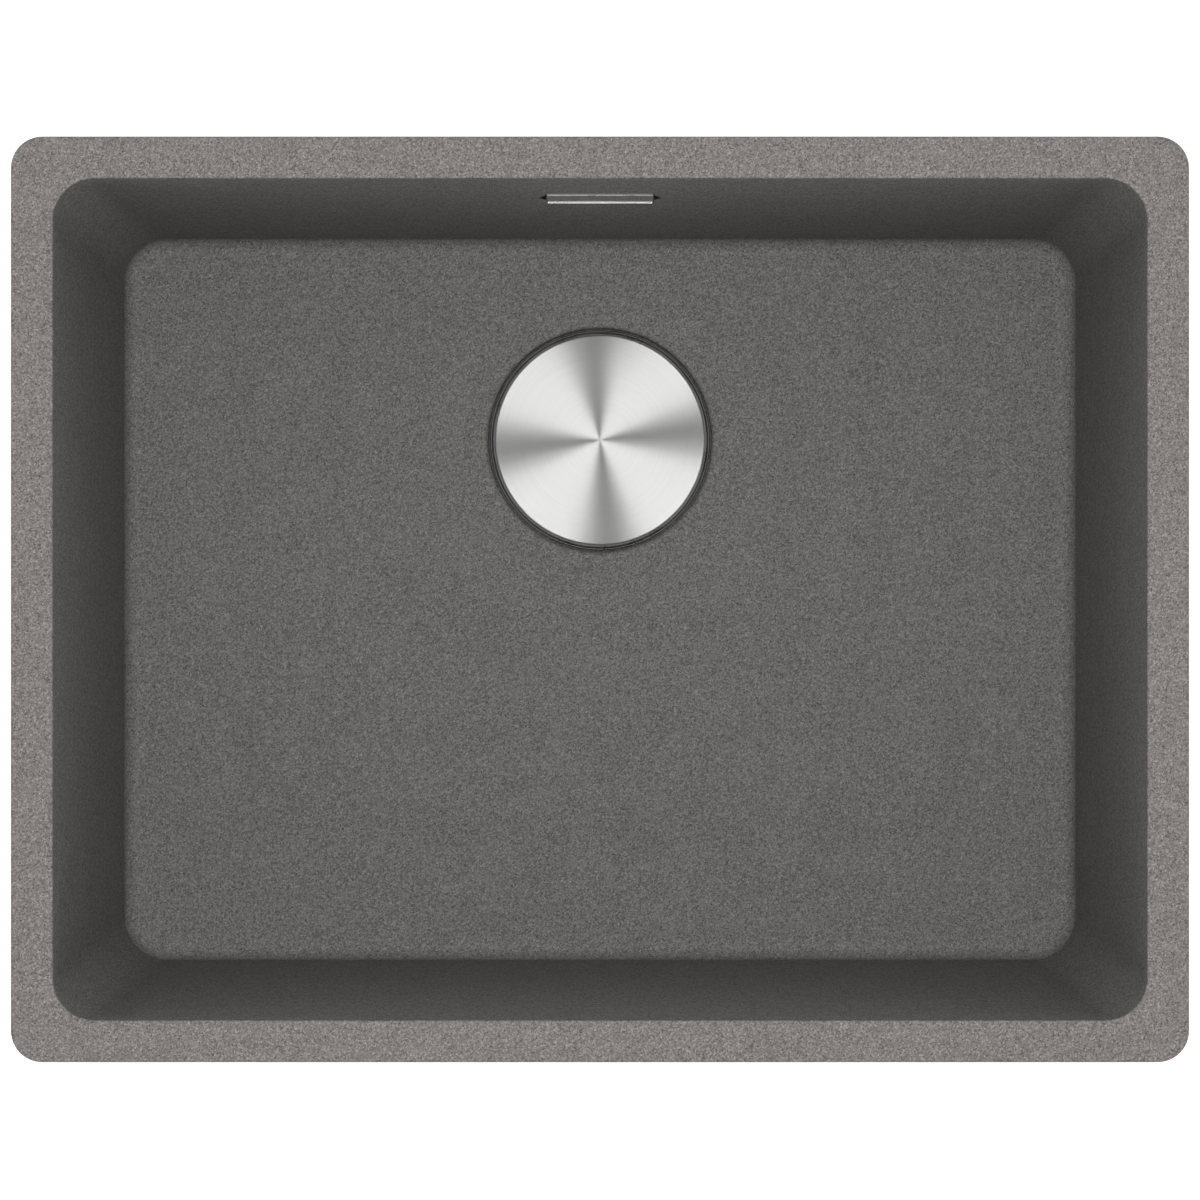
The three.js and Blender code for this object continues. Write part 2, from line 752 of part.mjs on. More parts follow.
function plugNutGeometry() {
  const top = plugUnder - seatGap;
  const hexagon = rod(plugNutRadius, top - plugNutHeight, top, 6);
  const hole = rod(postThreadRadius + seatGap, top - plugNutHeight - bite, top + bite);
  return geometryOf(solid(hexagon).subtract(solid(hole)));
}

// ---------------------------------------------------------------- cover
function coverGeometry() {
  return turned(
    [
      [0, coverUnder],
      [coverRadius - coverEdge, coverUnder],
      [coverRadius, coverUnder + coverEdge],
      ...arc([coverRadius - coverEdge, coverTop - coverEdge], coverEdge, 0, 90, 2),
      [0, coverTop],
    ],
    coverSegments,
  );
}

// Moulded carrier under the cover: a plate with ribs whose feet stand on the cup's rim, so that
// water runs in under the cover, and a hub that slips over the basket's knob.
function carrierGeometry() {
  const bore = knobRadius + hubClearance;
  const plate = turned([
    [0, carrierUnder],
    [carrierPlateRadius, carrierUnder],
    [carrierPlateRadius, carrierTop],
    [0, carrierTop],
  ]);
  const hub = rod(bore + hubWall, hubUnder, carrierUnder + carrierPlate / 2, hubSegments);
  const hubBore = rod(bore, hubUnder - bite, knobTop + seatGap, hubSegments);
  const inner = bore + hubWall / 2;
  const rib = (angle) => {
    const reach = carrierReach - inner;
    return block(reach, carrierRibWidth, carrierTop - feetUnder)
      .translate(inner + reach / 2, 0, (carrierTop + feetUnder) / 2)
      .rotateZ(angle);
  };
  return geometryOf(joined(plate, hub, ...around(carrierRibs, rib)).subtract(solid(hubBore)));
}

// ---------------------------------------------------------------- overflow pieces
// The face plate lies in its rebate, a little proud of the wall. Two pegs snap into the carrier.
function facePlateGeometry() {
  const back = plateSheet - plateProud;
  const face = slab(
    roundedRectangle(plateWidth - 2 * plateBevel, plateHeight - 2 * plateBevel, plateCorner),
    -plateProud,
    back,
  );
  const body = slab(
    roundedRectangle(plateWidth, plateHeight, plateCorner),
    -plateProud + plateBevel,
    back,
  );
  const lip = block(
    plateWidth - 2 * plateCorner,
    plateLip + plateProud + back,
    plateLip,
    0,
    (back - plateLip - plateProud) / 2,
    (plateLip - plateHeight) / 2 + plateBevel,
  );
  const peg = (x) =>
    rod(pegRadius, back - plateSheet / 2, back + pegLength)
      .rotateX(-Math.PI / 2)
      .translate(x, 0, 0);
  return geometryOf(joined(face, body, lip, peg(-pegSpacing / 2), peg(pegSpacing / 2)));
}

const carrierFront = rebateDepth - seatGap - carrierFlange;
const carrierBack = rebateDepth - seatGap + carrierBridge;
const fixingHeadBack = carrierFront + fixingHead;
const hoodBossFront = carrierBack + seatGap;

// The carrier bears on the rebate with its flange and fills the middle of the slot with its bridge.
function overflowCarrierGeometry() {
  const flange = slab(
    roundedRectangle(plateWidth - 2 * plateBevel, plateHeight - 2 * plateBevel, plateCorner),
    carrierFront,
    carrierFront + carrierFlange,
  );
  const bridge = slab(
    roundedRectangle(carrierWidth, slotHeight - 2 * bridgeClearance, slotHeight / 4),
    carrierFront + carrierFlange / 2,
    carrierBack,
  );
  const along = (radius, x, from, to) =>
    rod(radius, from, to, 12)
      .rotateX(-Math.PI / 2)
      .translate(x, 0, 0);
  const front = carrierFront - bite;
  const cuts = [-1, 1].flatMap((side) => [
    along(pegRadius + seatGap, (side * pegSpacing) / 2, front, carrierBack + bite),
    along(fixingRadius + seatGap, (side * fixingSpacing) / 2, front, carrierBack + bite),
    along(fixingHeadRadius + seatGap, (side * fixingSpacing) / 2, front, fixingHeadBack + seatGap),
  ]);
  return geometryOf(joined(flange, bridge).subtract(joined(...cuts)));
}

function overflowScrewGeometry() {
  const blank = turned(
    [
      [0, carrierFront],
      [fixingHeadRadius - fixingChamfer, carrierFront],
      [fixingHeadRadius, carrierFront + fixingChamfer],
      [fixingHeadRadius, fixingHeadBack],
      [fixingRadius, fixingHeadBack],
      [fixingRadius, hoodBossFront + fixingBite - fixingRadius],
      [0, hoodBossFront + fixingBite],
    ],
    smallSegments,
  );
  const cross = [
    block(fixingHeadRadius, fixingCross, 2 * fixingCross, 0, 0, carrierFront),
    block(fixingCross, fixingHeadRadius, 2 * fixingCross, 0, 0, carrierFront),
  ];
  return geometryOf(solid(blank).subtract(joined(...cross)).rotate([-90, 0, 0]));
}

const hoodGasketFront = wallBack + seatGap;
const hoodFront = hoodGasketFront + hoodGasket + seatGap;
const hoodInnerWidth = slotWidth + 2 * hoodRoom;
const hoodInnerHeight = slotHeight + 2 * hoodRoom;
const hoodOuterWidth = hoodInnerWidth + 2 * hoodGasketWidth;
const hoodOuterHeight = hoodInnerHeight + 2 * hoodGasketWidth;

function stadiumRing(front, back) {
  const shape = roundedRectangle(hoodOuterWidth, hoodOuterHeight, hoodOuterHeight / 2);
  const inner = roundedRectangle(hoodInnerWidth, hoodInnerHeight, hoodInnerHeight / 2);
  shape.holes.push(inner);
  return slab(shape, front, back);
}

// The axis of the upright spigot, in the overflow's own frame at the slot's height.
const spigotY = halfDepth + wallThickness - wallInset(overflowBelowRim) + spigotFromWall;
const hoodUnder = -hoodOuterHeight / 2;
const spigotEndZ = -overflowBelowRim + hoodUnder - spigotLength;

function uprightRod(radius, from, to) {
  const back = overflow.matrixWorld.clone().invert();
  return rod(radius, from, to).translate(0, spigotY, 0).applyMatrix4(back);
}

// Hood behind the wall: a stadium flange, a chamber that is deepest at the bottom, two screw
// bosses and an upright spigot for the hose.
function hoodGeometry() {
  const chamber = (grow, front) => {
    const [top, low] = [slotHeight / 2 + grow, -slotHeight / 2 - grow];
    const shape = new THREE.Shape();
    shape.moveTo(front, low);
    shape.lineTo(hoodFront + hoodBottomDepth + grow - hoodWall, low);
    const knee = hoodSlopeStart - slotHeight / 2 + grow / 2;
    shape.lineTo(hoodFront + hoodBottomDepth + grow - hoodWall, knee);
    shape.lineTo(hoodFront + hoodTopDepth + grow - hoodWall, top);
    shape.lineTo(front, top);
    const across = slotWidth + 2 * grow;
    const options = { depth: across, bevelEnabled: false };
    const made = new THREE.ExtrudeGeometry(shape, options);
    return made.rotateY(Math.PI / 2).rotateX(Math.PI / 2).translate(-across / 2, 0, 0);
  };
  const backAt = hoodFront + hoodBottomDepth - hoodWall / 2;
  const boss = (side, radius, front, end) =>
    rod(radius, front, end)
      .rotateX(-Math.PI / 2)
      .translate((side * fixingSpacing) / 2, 0, 0);
  const bosses = [-1, 1].map((side) => boss(side, hoodBossRadius, hoodBossFront, backAt));
  const pilots = [-1, 1].map((side) =>
    boss(side, fixingRadius + seatGap, hoodBossFront - bite, hoodBossFront + fixingBite + bite),
  );
  const spigotTop = -overflowBelowRim - slotHeight / 2 + bite;
  const outside = joined(
    chamber(hoodWall, hoodFront + hoodFlange / 2),
    uprightRod(spigotRadius, spigotEndZ, spigotTop),
  );
  const hollow = joined(
    chamber(0, hoodFront - bite),
    uprightRod(spigotBore, spigotEndZ - bite, spigotTop + bite),
  );
  return geometryOf(
    outside
      .add(solid(stadiumRing(hoodFront, hoodFront + hoodFlange)))
      .subtract(hollow)
      .add(joined(...bosses))
      .subtract(joined(...pilots)),
  );
}

// ---------------------------------------------------------------- hose
// The hose's centre line lies in the plane x = 0: down from the hood, round one bend, and forward
// to the waste body's side inlet. Each point has the direction in which the hose runs there.
const inletZ = -bowlDepth + bodyTop - inletBelowTop;
const hoodFlangeFall = (hoodFront + hoodFlange) * Math.sin(wallDraft);
const hoseTopZ = -overflowBelowRim + hoodUnder - hoodFlangeFall - 2 * seatGap;
const hoseEndY = drainY + bodyOuterRadius + 2 * seatGap;
const bendStart = hoseTopZ - inletZ - hoseBend;
const bendLength = (hoseBend * Math.PI) / 2;
const hoseLength = bendStart + bendLength + (spigotY - hoseBend - hoseEndY);

function hosePoint(along) {
  const turn = THREE.MathUtils.clamp((along - bendStart) / hoseBend, 0, Math.PI / 2);
  const straight = Math.min(along, bendStart);
  const after = Math.max(0, along - bendStart - bendLength);
  const y = spigotY - hoseBend * (1 - Math.cos(turn)) - after;
  const z = hoseTopZ - straight - hoseBend * Math.sin(turn);
  return { y, z, turn };
}

function hoseRing(along, radius) {
  const { y, z, turn } = hosePoint(along);
  return Array.from({ length: hoseSides }, (_, i) => {
    const angle = (i * 2 * Math.PI) / hoseSides;
    const side = radius * Math.sin(angle);
    return new THREE.Vector3(
      radius * Math.cos(angle),
      y - side * Math.cos(turn),
      z + side * Math.sin(turn),
    );
  });
}

// The cuffs are eight-sided too, so their flats clear the round spigots.
const cuffBore = (spigotRadius + hoseFit) / Math.cos(Math.PI / hoseSides);
const cuff = cuffBore + hoseCuffWall;

function hoseGeometry() {
  const ribbed = hoseLength - 2 * hoseCuff;
  const ribs = Math.floor(ribbed / ribPitch);
  const pitch = ribbed / ribs;
  const outer = [hoseRing(0, cuff), hoseRing(hoseCuff - pitch / 2, cuff)];
  for (let i = 0; i < ribs; i++) {
    outer.push(hoseRing(hoseCuff + pitch * i, hoseValley));
    outer.push(hoseRing(hoseCuff + pitch * (i + 0.5), hoseCrest));
  }
  outer.push(hoseRing(hoseLength - hoseCuff, hoseValley));
  outer.push(hoseRing(hoseLength - hoseCuff + pitch / 2, cuff));
  outer.push(hoseRing(hoseLength, cuff));
  const socket = hoseCuff - ribPitch;
  const ribsPerBoreRing = 3;
  const boreRings = Math.ceil(ribs / ribsPerBoreRing);
  const boreStep = (hoseLength - 2 * socket) / boreRings;
  const inner = [hoseRing(hoseLength, cuffBore), hoseRing(hoseLength - socket, cuffBore)];
  for (let i = boreRings; i >= 0; i--) inner.push(hoseRing(socket + boreStep * i, hoseBore));
  inner.push(hoseRing(socket, cuffBore), hoseRing(0, cuffBore));
  return loftLoop([...outer, ...inner]);
}

// A band clip round a hose cuff, with its worm housing at one side.
function clipGeometry() {
  const inner = cuff + seatGap;
  const outer = inner + clipSheet;
  const half = clipWidth / 2;
  const band = flatRing(inner, outer, -half, half);
  const middle = outer + (clipHousing - clipSheet) / 2;
  const housing = block(clipHousing, clipHousingLength, clipWidth, middle);
  const screw = rod(clipScrewRadius, -clipScrewReach, clipHousingLength / 2 - bite)
    .rotateX(Math.PI / 2)
    .translate(middle, 0, 0);
  return geometryOf(joined(band, housing, screw));
}

function placedClip(name, along) {
  const clip = piece(name, clipGeometry(), brushedSteel);
  const { y, z, turn } = hosePoint(along);
  clip.position.set(0, y, z);
  clip.rotation.x = -turn;
  return clip;
}

// ---------------------------------------------------------------- the sink
const sink = new THREE.Group();
sink.add(piece("sink_bowl", bowlGeometry(), granite));

const waste = new THREE.Group();
waste.position.set(0, drainY, -bowlDepth);
waste.add(
  piece(
    "cup_gasket",
    flatRing(
      drainHoleRadius + gasketInnerGap,
      cupRimRadius - gasketOuterGap,
      -recessDepth + seatGap,
      gasketTop,
    ),
    blackRubber,
  ),
  piece("strainer_cup", strainerCupGeometry(), brushedSteel),
  piece(
    "body_gasket",
    flatRing(bodyInnerRadius, bodyFlangeRadius, bodyGasketTop - bodyGasketThickness, bodyGasketTop),
    blackRubber,
  ),
  piece("waste_body", wasteBodyGeometry(), whitePlastic),
  piece("centre_screw", centreScrewGeometry(), polishedSteel),
  piece("centre_nut", centreNutGeometry(), brass),
  piece("basket", basketGeometry(), brushedSteel),
  piece("basket_post", postGeometry(), blackPlastic),
  piece("plug_seal", plugGeometry(), blackRubber),
  piece("plug_nut", plugNutGeometry(), brass),
  piece("cover_disc", coverGeometry(), brushedSteel),
  piece("cover_carrier", carrierGeometry(), blackPlastic),
);
sink.add(waste);

const screwNames = { overflow_screw_left: -1, overflow_screw_right: 1 };
for (const [name, side] of Object.entries(screwNames)) {
  const screw = piece(name, overflowScrewGeometry(), polishedSteel);
  screw.position.x = (side * fixingSpacing) / 2;
  overflow.add(screw);
}
overflow.add(
  piece("overflow_plate", facePlateGeometry(), polishedSteel),
  piece("overflow_carrier", overflowCarrierGeometry(), blackPlastic),
  piece("overflow_gasket", stadiumRing(hoodGasketFront, hoodGasketFront + hoodGasket), blackRubber),
  piece("overflow_hood", hoodGeometry(), blackPlastic),
);
sink.add(overflow);

sink.add(
  piece("overflow_hose", hoseGeometry(), greyHose),
  placedClip("hose_clip_upper", hoseCuff / 2),
  placedClip("hose_clip_lower", hoseLength - hoseCuff / 2),
);

export default sink;
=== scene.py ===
import math

import bpy
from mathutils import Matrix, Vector


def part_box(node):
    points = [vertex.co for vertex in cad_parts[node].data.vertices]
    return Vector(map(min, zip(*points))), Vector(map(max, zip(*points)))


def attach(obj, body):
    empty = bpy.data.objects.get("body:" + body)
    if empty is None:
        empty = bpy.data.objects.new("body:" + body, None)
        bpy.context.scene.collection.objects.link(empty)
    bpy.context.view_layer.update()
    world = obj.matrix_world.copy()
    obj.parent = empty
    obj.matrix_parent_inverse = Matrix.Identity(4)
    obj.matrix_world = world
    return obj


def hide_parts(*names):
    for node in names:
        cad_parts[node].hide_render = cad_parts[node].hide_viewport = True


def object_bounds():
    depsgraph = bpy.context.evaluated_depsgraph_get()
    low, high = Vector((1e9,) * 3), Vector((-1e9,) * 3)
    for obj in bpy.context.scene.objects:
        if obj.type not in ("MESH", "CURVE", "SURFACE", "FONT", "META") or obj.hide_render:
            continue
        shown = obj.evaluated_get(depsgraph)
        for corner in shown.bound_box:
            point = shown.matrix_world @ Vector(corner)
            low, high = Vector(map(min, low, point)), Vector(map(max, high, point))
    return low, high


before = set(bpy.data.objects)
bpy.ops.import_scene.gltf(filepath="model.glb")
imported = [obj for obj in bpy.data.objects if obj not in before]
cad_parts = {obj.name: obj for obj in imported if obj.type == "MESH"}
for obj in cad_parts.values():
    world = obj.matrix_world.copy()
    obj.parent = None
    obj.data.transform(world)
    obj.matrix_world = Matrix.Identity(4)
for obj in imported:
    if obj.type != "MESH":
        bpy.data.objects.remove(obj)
cad_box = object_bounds()
MM = 0.001

# ---------------------------------------------------------------- Camera
# The view is straight down into the bowl from about two metres up. The frame is as wide as the
# 560 mm rim would make it, which fills 1179 of its 1200 pixels.
rim_low, rim_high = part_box("sink_bowl")
camera_height = 1.955
rim_across_photo = 1178.9 / 1200
view_width = (rim_high.x - rim_low.x) / rim_across_photo
view_shift_up = -0.3 * MM

bpy.ops.object.camera_add(location=(0, view_shift_up, camera_height), rotation=(0, 0, 0))
camera = bpy.context.object
camera.data.lens = camera.data.sensor_width * camera_height / view_width
bpy.context.scene.camera = camera
bpy.context.scene.view_settings.view_transform = "Standard"


# ---------------------------------------------------------------- Studio
# A dim room, dark overhead and brighter along the walls, most of all in front. A big lamp far above
# lights the bowl, and four softboxes, one to each corner of the bowl, give the steel what it
# mirrors. The floor is plain and pale and lies level with the outlet's end.
def node(tree, kind, inputs=None, **settings):
    """Adds a shader node, sets it up, and fills its inputs with values or with other outputs."""
    made = tree.nodes.new(kind)
    for name, value in settings.items():
        setattr(made, name, value)
    for name, value in (inputs or {}).items():
        if isinstance(value, bpy.types.NodeSocket):
            tree.links.new(value, made.inputs[name])
        else:
            made.inputs[name].default_value = value
    return made


def maths(tree, operation, first, second=0.5):
    """One step of arithmetic in a node tree."""
    return node(tree, "ShaderNodeMath", {0: first, 1: second}, operation=operation).outputs[0]


def ramp(tree, value, stops):
    """Colours along a value, from stops of (place, colour)."""
    made = node(tree, "ShaderNodeValToRGB", {"Fac": value})
    elements = made.color_ramp.elements
    while len(elements) < len(stops):
        elements.new(0.5)
    for element, (at, colour) in zip(elements, stops):
        element.position = at
        element.color = (*colour, 1)
    return made.outputs["Color"]


def spread(tree, value, low, high, out_low, out_high):
    """Maps a value from one range to another."""
    return node(
        tree,
        "ShaderNodeMapRange",
        {"Value": value, "From Min": low, "From Max": high, "To Min": out_low, "To Max": out_high},
    ).outputs["Result"]


def seen_rays(tree):
    """1 for the rays that show the room itself: to the camera, in gloss and through glass."""
    path = node(tree, "ShaderNodeLightPath").outputs
    gloss = maths(tree, "MAXIMUM", path["Is Glossy Ray"], path["Is Transmission Ray"])
    return maths(tree, "MAXIMUM", path["Is Camera Ray"], gloss)


room_tint = (1.0, 0.995, 0.985)
room_levels = [(0.30, 1.40), (0.45, 0.34), (0.90, 0.34), (0.96, 0.14)]
ramp_part = 0.5
front_level = 1.12
rear_level = 0.98
middle_level = 1.05
side_level = 0.9
horizon_low = 0.15
horizon_top = 0.35

world = bpy.context.scene.world or bpy.data.worlds.new("studio")
bpy.context.scene.world = world
world.use_nodes = True
room = world.node_tree
room.nodes.clear()
direction = node(room, "ShaderNodeTexCoord").outputs["Generated"]
looking = node(room, "ShaderNodeSeparateXYZ", {"Vector": direction}).outputs
upward = looking["Z"]
low_down = spread(room, upward, horizon_low, horizon_top, 1, 0)
# A ramp's colours stop at 1, so it holds half of each level, and front_share gives that back.
level = ramp(room, upward, [(at, (value * ramp_part,) * 3) for at, value in room_levels])
front_share = spread(room, looking["Y"], -1, 1, front_level / ramp_part, rear_level / ramp_part)
sideways = maths(room, "ABSOLUTE", looking["X"])
side_share = spread(room, sideways, 0, 1, middle_level, side_level)
strength = maths(room, "MULTIPLY", level, maths(room, "MULTIPLY", front_share, side_share))
soft = node(room, "ShaderNodeBackground", {"Color": (*room_tint, 1), "Strength": strength})
white = node(room, "ShaderNodeBackground", {"Color": (1, 1, 1, 1), "Strength": 1})
shown = maths(room, "MULTIPLY", seen_rays(room), low_down)
mixed = node(room, "ShaderNodeMixShader", {0: shown, 1: soft.outputs[0], 2: white.outputs[0]})
node(room, "ShaderNodeOutputWorld", {"Surface": mixed.outputs[0]})

disc_low, disc_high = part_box("cover_disc")
drain = (disc_low + disc_high) / 2
lamp_radiance = 26.5
lamp_size = 0.8
lamp_up = 3.0
bpy.ops.object.light_add(type="AREA", location=drain + Vector((0, 0, lamp_up)))
lamp = bpy.context.object
lamp.data.size = lamp_size
lamp.data.energy = lamp_radiance * math.pi * lamp_size**2
lamp.visible_glossy = False

softbox_radiance = 4.9
softbox_shares = [0.96, 0.83, 1.06, 1.19]
softbox_length = 0.52
softbox_width = 0.28
softbox_out = 0.44
softbox_up = 1.3
softbox_turn = math.radians(5)
mirrored_from = (drain.y - view_shift_up) / (camera_height - drain.z)
for corner, share in enumerate(softbox_shares):
    angle = math.pi / 4 + corner * math.pi / 2 + softbox_turn
    out = Vector((math.cos(angle), math.sin(angle), 0)) * softbox_out
    place = drain + out + Vector((0, mirrored_from, 1)) * softbox_up
    bpy.ops.object.light_add(type="AREA", location=place, rotation=(0, 0, angle))
    softbox = bpy.context.object
    softbox.data.shape = "RECTANGLE"
    softbox.data.size = softbox_width
    softbox.data.size_y = softbox_length
    softbox.data.energy = softbox_radiance * share * math.pi * softbox_length * softbox_width
    softbox.visible_diffuse = False

floor_size = 14
floor_glow = 0.75
floor_colour = (0.5, 0.5, 0.495)
bpy.ops.mesh.primitive_plane_add(size=floor_size, location=(0, 0, cad_box[0].z))
floor = bpy.context.object
floor.name = "studio_floor"
paper = bpy.data.materials.new("studio_paper")
paper.use_nodes = True
tree = paper.node_tree
tree.nodes.clear()
matte = node(tree, "ShaderNodeBsdfDiffuse", {"Color": (*floor_colour, 1)})
glow = node(tree, "ShaderNodeEmission", {"Strength": floor_glow})
bright = node(tree, "ShaderNodeAddShader", {0: matte.outputs[0], 1: glow.outputs[0]})
lit = node(
    tree, "ShaderNodeMixShader", {0: seen_rays(tree), 1: matte.outputs[0], 2: bright.outputs[0]}
)
from_below = maths(
    tree,
    "MULTIPLY",
    node(tree, "ShaderNodeNewGeometry").outputs["Backfacing"],
    node(tree, "ShaderNodeLightPath").outputs["Is Camera Ray"],
)
clear = node(tree, "ShaderNodeBsdfTransparent")
whole = node(tree, "ShaderNodeMixShader", {0: from_below, 1: lit.outputs[0], 2: clear.outputs[0]})
node(tree, "ShaderNodeOutputMaterial", {"Surface": whole.outputs[0]})
floor.data.materials.append(paper)


# ---------------------------------------------------------------- Bowl with its rim
# One moulding of quartz-filled resin in a speckled grey. Its faces are fine and matt, the rim's
# top is flat for the worktop and painted lighter, a painted highlight of the light on the open top,
# and every edge is rounded where it leaves the mould.
opening = Vector((520, 400))
opening_corner = 20
rim_width = 20
rim_corner = 15
rim_thickness = 10
edge_round = 1.2
bowl_depth = 200
floor_fall = 3
wall = 8
bottom = 9
draft = math.radians(3.6)
foot_round = 8
foot_corner = 23
root_round = 4
hair = 0.02
recess_radius = 58.5
recess_round = 2.5
recess_depth = 8.5
drain_hole = 45
boss_radius = 66
boss_taper = 6


def arc(centre, radius, start, end, steps):
    """Points of an arc in a section, from one angle to another in degrees."""
    angles = [math.radians(start + (end - start) * i / steps) for i in range(steps + 1)]
    return [(centre[0] + radius * math.cos(a), centre[1] + radius * math.sin(a)) for a in angles]


def start_mesh(name):
    """A new piece, open in edit mode and still empty."""
    bpy.ops.object.select_all(action="DESELECT")
    bpy.ops.mesh.primitive_plane_add(size=MM)
    piece = bpy.context.object
    piece.name = name
    bpy.ops.object.mode_set(mode="EDIT")
    bpy.ops.mesh.delete(type="VERT")
    return piece


def add_outline(width, depth, radius, height, corner_steps=12, middle=0):
    """Adds a rounded rectangle's edge, lying flat at a height, and names it as a group."""
    bpy.ops.mesh.select_all(action="DESELECT")
    at = (0, middle * MM, height * MM)
    bpy.ops.mesh.primitive_plane_add(size=1, location=at)
    bpy.ops.transform.resize(value=(width * MM, depth * MM, 1), center_override=at)
    bpy.ops.mesh.bevel(offset=radius * MM, segments=corner_steps, affect="VERTICES")
    bpy.ops.object.vertex_group_assign_new()
    bpy.ops.mesh.delete(type="ONLY_FACE")


def add_circle(radius, height, centre=(0, 0), steps=96):
    """Adds a circle's edge, lying flat at a height, and names it as a group."""
    bpy.ops.mesh.select_all(action="DESELECT")
    at = (centre[0] * MM, centre[1] * MM, height * MM)
    bpy.ops.mesh.primitive_circle_add(vertices=steps, radius=radius * MM, location=at)
    bpy.ops.object.vertex_group_assign_new()


def bridge_outlines(piece, closed=False):
    """Skins each outline to the next one, and the last to the first or with a face at each end."""
    count = len(piece.vertex_groups)
    for first in range(count if closed else count - 1):
        bpy.ops.mesh.select_all(action="DESELECT")
        for group in (first, (first + 1) % count):
            piece.vertex_groups.active_index = group
            bpy.ops.object.vertex_group_select()
        bpy.ops.mesh.bridge_edge_loops()
    for end in [] if closed else [0, count - 1]:
        bpy.ops.mesh.select_all(action="DESELECT")
        piece.vertex_groups.active_index = end
        bpy.ops.object.vertex_group_select()
        bpy.ops.mesh.edge_face_add()
    bpy.ops.mesh.select_all(action="SELECT")
    bpy.ops.mesh.normals_make_consistent(inside=False)
    bpy.ops.object.mode_set(mode="OBJECT")
    piece.vertex_groups.clear()


def put(piece, at, tilt=0.0, turn=0.0):
    """Moves a finished mesh to its place, and leaves its object at the origin."""
    bpy.ops.object.select_all(action="DESELECT")
    piece.select_set(True)
    bpy.context.view_layer.objects.active = piece
    piece.location = Vector(at) * MM
    piece.rotation_euler = (tilt, 0, turn)
    bpy.ops.object.transform_apply(location=True, rotation=True, scale=True)


def apply_modifier(piece, kind, **settings):
    """Adds a modifier, sets it up and applies it."""
    bpy.ops.object.select_all(action="DESELECT")
    piece.select_set(True)
    bpy.context.view_layer.objects.active = piece
    modifier = piece.modifiers.new(kind.lower(), kind)
    for name, value in settings.items():
        setattr(modifier, name, value)
    bpy.ops.object.modifier_apply(modifier=modifier.name)


def combine(piece, tool, operation="DIFFERENCE"):
    """Cuts a tool out of a piece, or joins it on, and clears the tool away."""
    for mesh in (piece, tool):
        apply_modifier(mesh, "TRIANGULATE", min_vertices=5)
    apply_modifier(piece, "BOOLEAN", object=tool, operation=operation, solver="EXACT")
    bpy.data.objects.remove(tool)


def smooth(piece, angle=30):
    """Shades a piece smooth, and leaves the edges sharper than the angle."""
    bpy.ops.object.select_all(action="DESELECT")
    piece.select_set(True)
    bpy.context.view_layer.objects.active = piece
    bpy.ops.object.shade_smooth_by_angle(angle=math.radians(angle))
    apply_modifier(piece, "WEIGHTED_NORMAL", keep_sharp=True)


def principled(name, colour, roughness, metallic=0.0):
    """A material with its node tree, its shader and the place on the piece that it is read at."""
    material = bpy.data.materials.new(name)
    material.use_nodes = True
    tree = material.node_tree
    shader = tree.nodes["Principled BSDF"]
    shader.inputs["Base Color"].default_value = (*colour, 1)
    shader.inputs["Roughness"].default_value = roughness
    shader.inputs["Metallic"].default_value = metallic
    return material, tree, shader, node(tree, "ShaderNodeTexCoord").outputs["Object"]


noise_low = 0.3
noise_high = 0.7


def noise(tree, place, density, detail):
    """A cloudy pattern from 0 to 1 that mostly stays between noise_low and noise_high."""
    return node(
        tree, "ShaderNodeTexNoise", {"Vector": place, "Scale": density, "Detail": detail}
    ).outputs["Fac"]


def vector_maths(tree, operation, first, second=(0, 0, 0)):
    """One step of arithmetic on vectors in a node tree."""
    return node(tree, "ShaderNodeVectorMath", {0: first, 1: second}, operation=operation).outputs


def bump(tree, shader, height, distance, strength=1.0):
    """A fine relief from a height, in metres."""
    made = node(
        tree, "ShaderNodeBump", {"Height": height, "Distance": distance, "Strength": strength}
    )
    tree.links.new(made.outputs["Normal"], shader.inputs["Normal"])


# Each quartz grain is one cell with a shade of its own, on two sizes of grain.
stone_mean = (0.1420, 0.1395, 0.1345)
grain_dark = (0.056, 0.055, 0.053)
grain_pale = (0.268, 0.263, 0.254)
grain_size = 0.70 * MM
fleck_size = 0.40 * MM
grain_part = 0.6
fleck_part = 0.4
cloud_part = 0.012
painted_top_light = (1.27, 1.20, 1.20)
painted_top_light_from = 0.1
stone, tree, shader, spot = principled("speckled_stone", stone_mean, 0.58)
grains = node(tree, "ShaderNodeTexVoronoi", {"Vector": spot, "Scale": 1 / grain_size})
flecks = node(tree, "ShaderNodeTexVoronoi", {"Vector": spot, "Scale": 1 / fleck_size})
third = (1 / 3, 1 / 3, 1 / 3)
grain_shade = vector_maths(tree, "DOT_PRODUCT", grains.outputs["Color"], third)["Value"]
fleck_shade = vector_maths(tree, "DOT_PRODUCT", flecks.outputs["Color"], third)["Value"]
cloud = spread(tree, noise(tree, spot, 45, 3), noise_low, noise_high, -cloud_part, cloud_part)
shade = maths(
    tree,
    "ADD",
    maths(tree, "MULTIPLY", grain_shade, grain_part),
    maths(tree, "MULTIPLY", fleck_shade, fleck_part),
)
shade = maths(tree, "ADD", shade, cloud)
speckle = ramp(tree, shade, [(0.22, grain_dark), (0.5, stone_mean), (0.80, grain_pale)])
# The stone's top 1.2 mm, the rim's flat top and its upper round, is tinted lighter than the rest: a
# painted highlight of the light that falls on the open top and not down into the bowl.
height = node(tree, "ShaderNodeSeparateXYZ", {"Vector": spot}).outputs["Z"]
on_top = spread(tree, height, -edge_round * MM, -painted_top_light_from * MM, 0, 1)
top_light_tone = ramp(tree, on_top, [(0, (ramp_part,) * 3), (1, [c * ramp_part for c in painted_top_light])])
whole_tint = vector_maths(tree, "MULTIPLY", top_light_tone, (1 / ramp_part,) * 3)[0]
tone = vector_maths(tree, "MULTIPLY", speckle, whole_tint)[0]
tree.links.new(tone, shader.inputs["Base Color"])
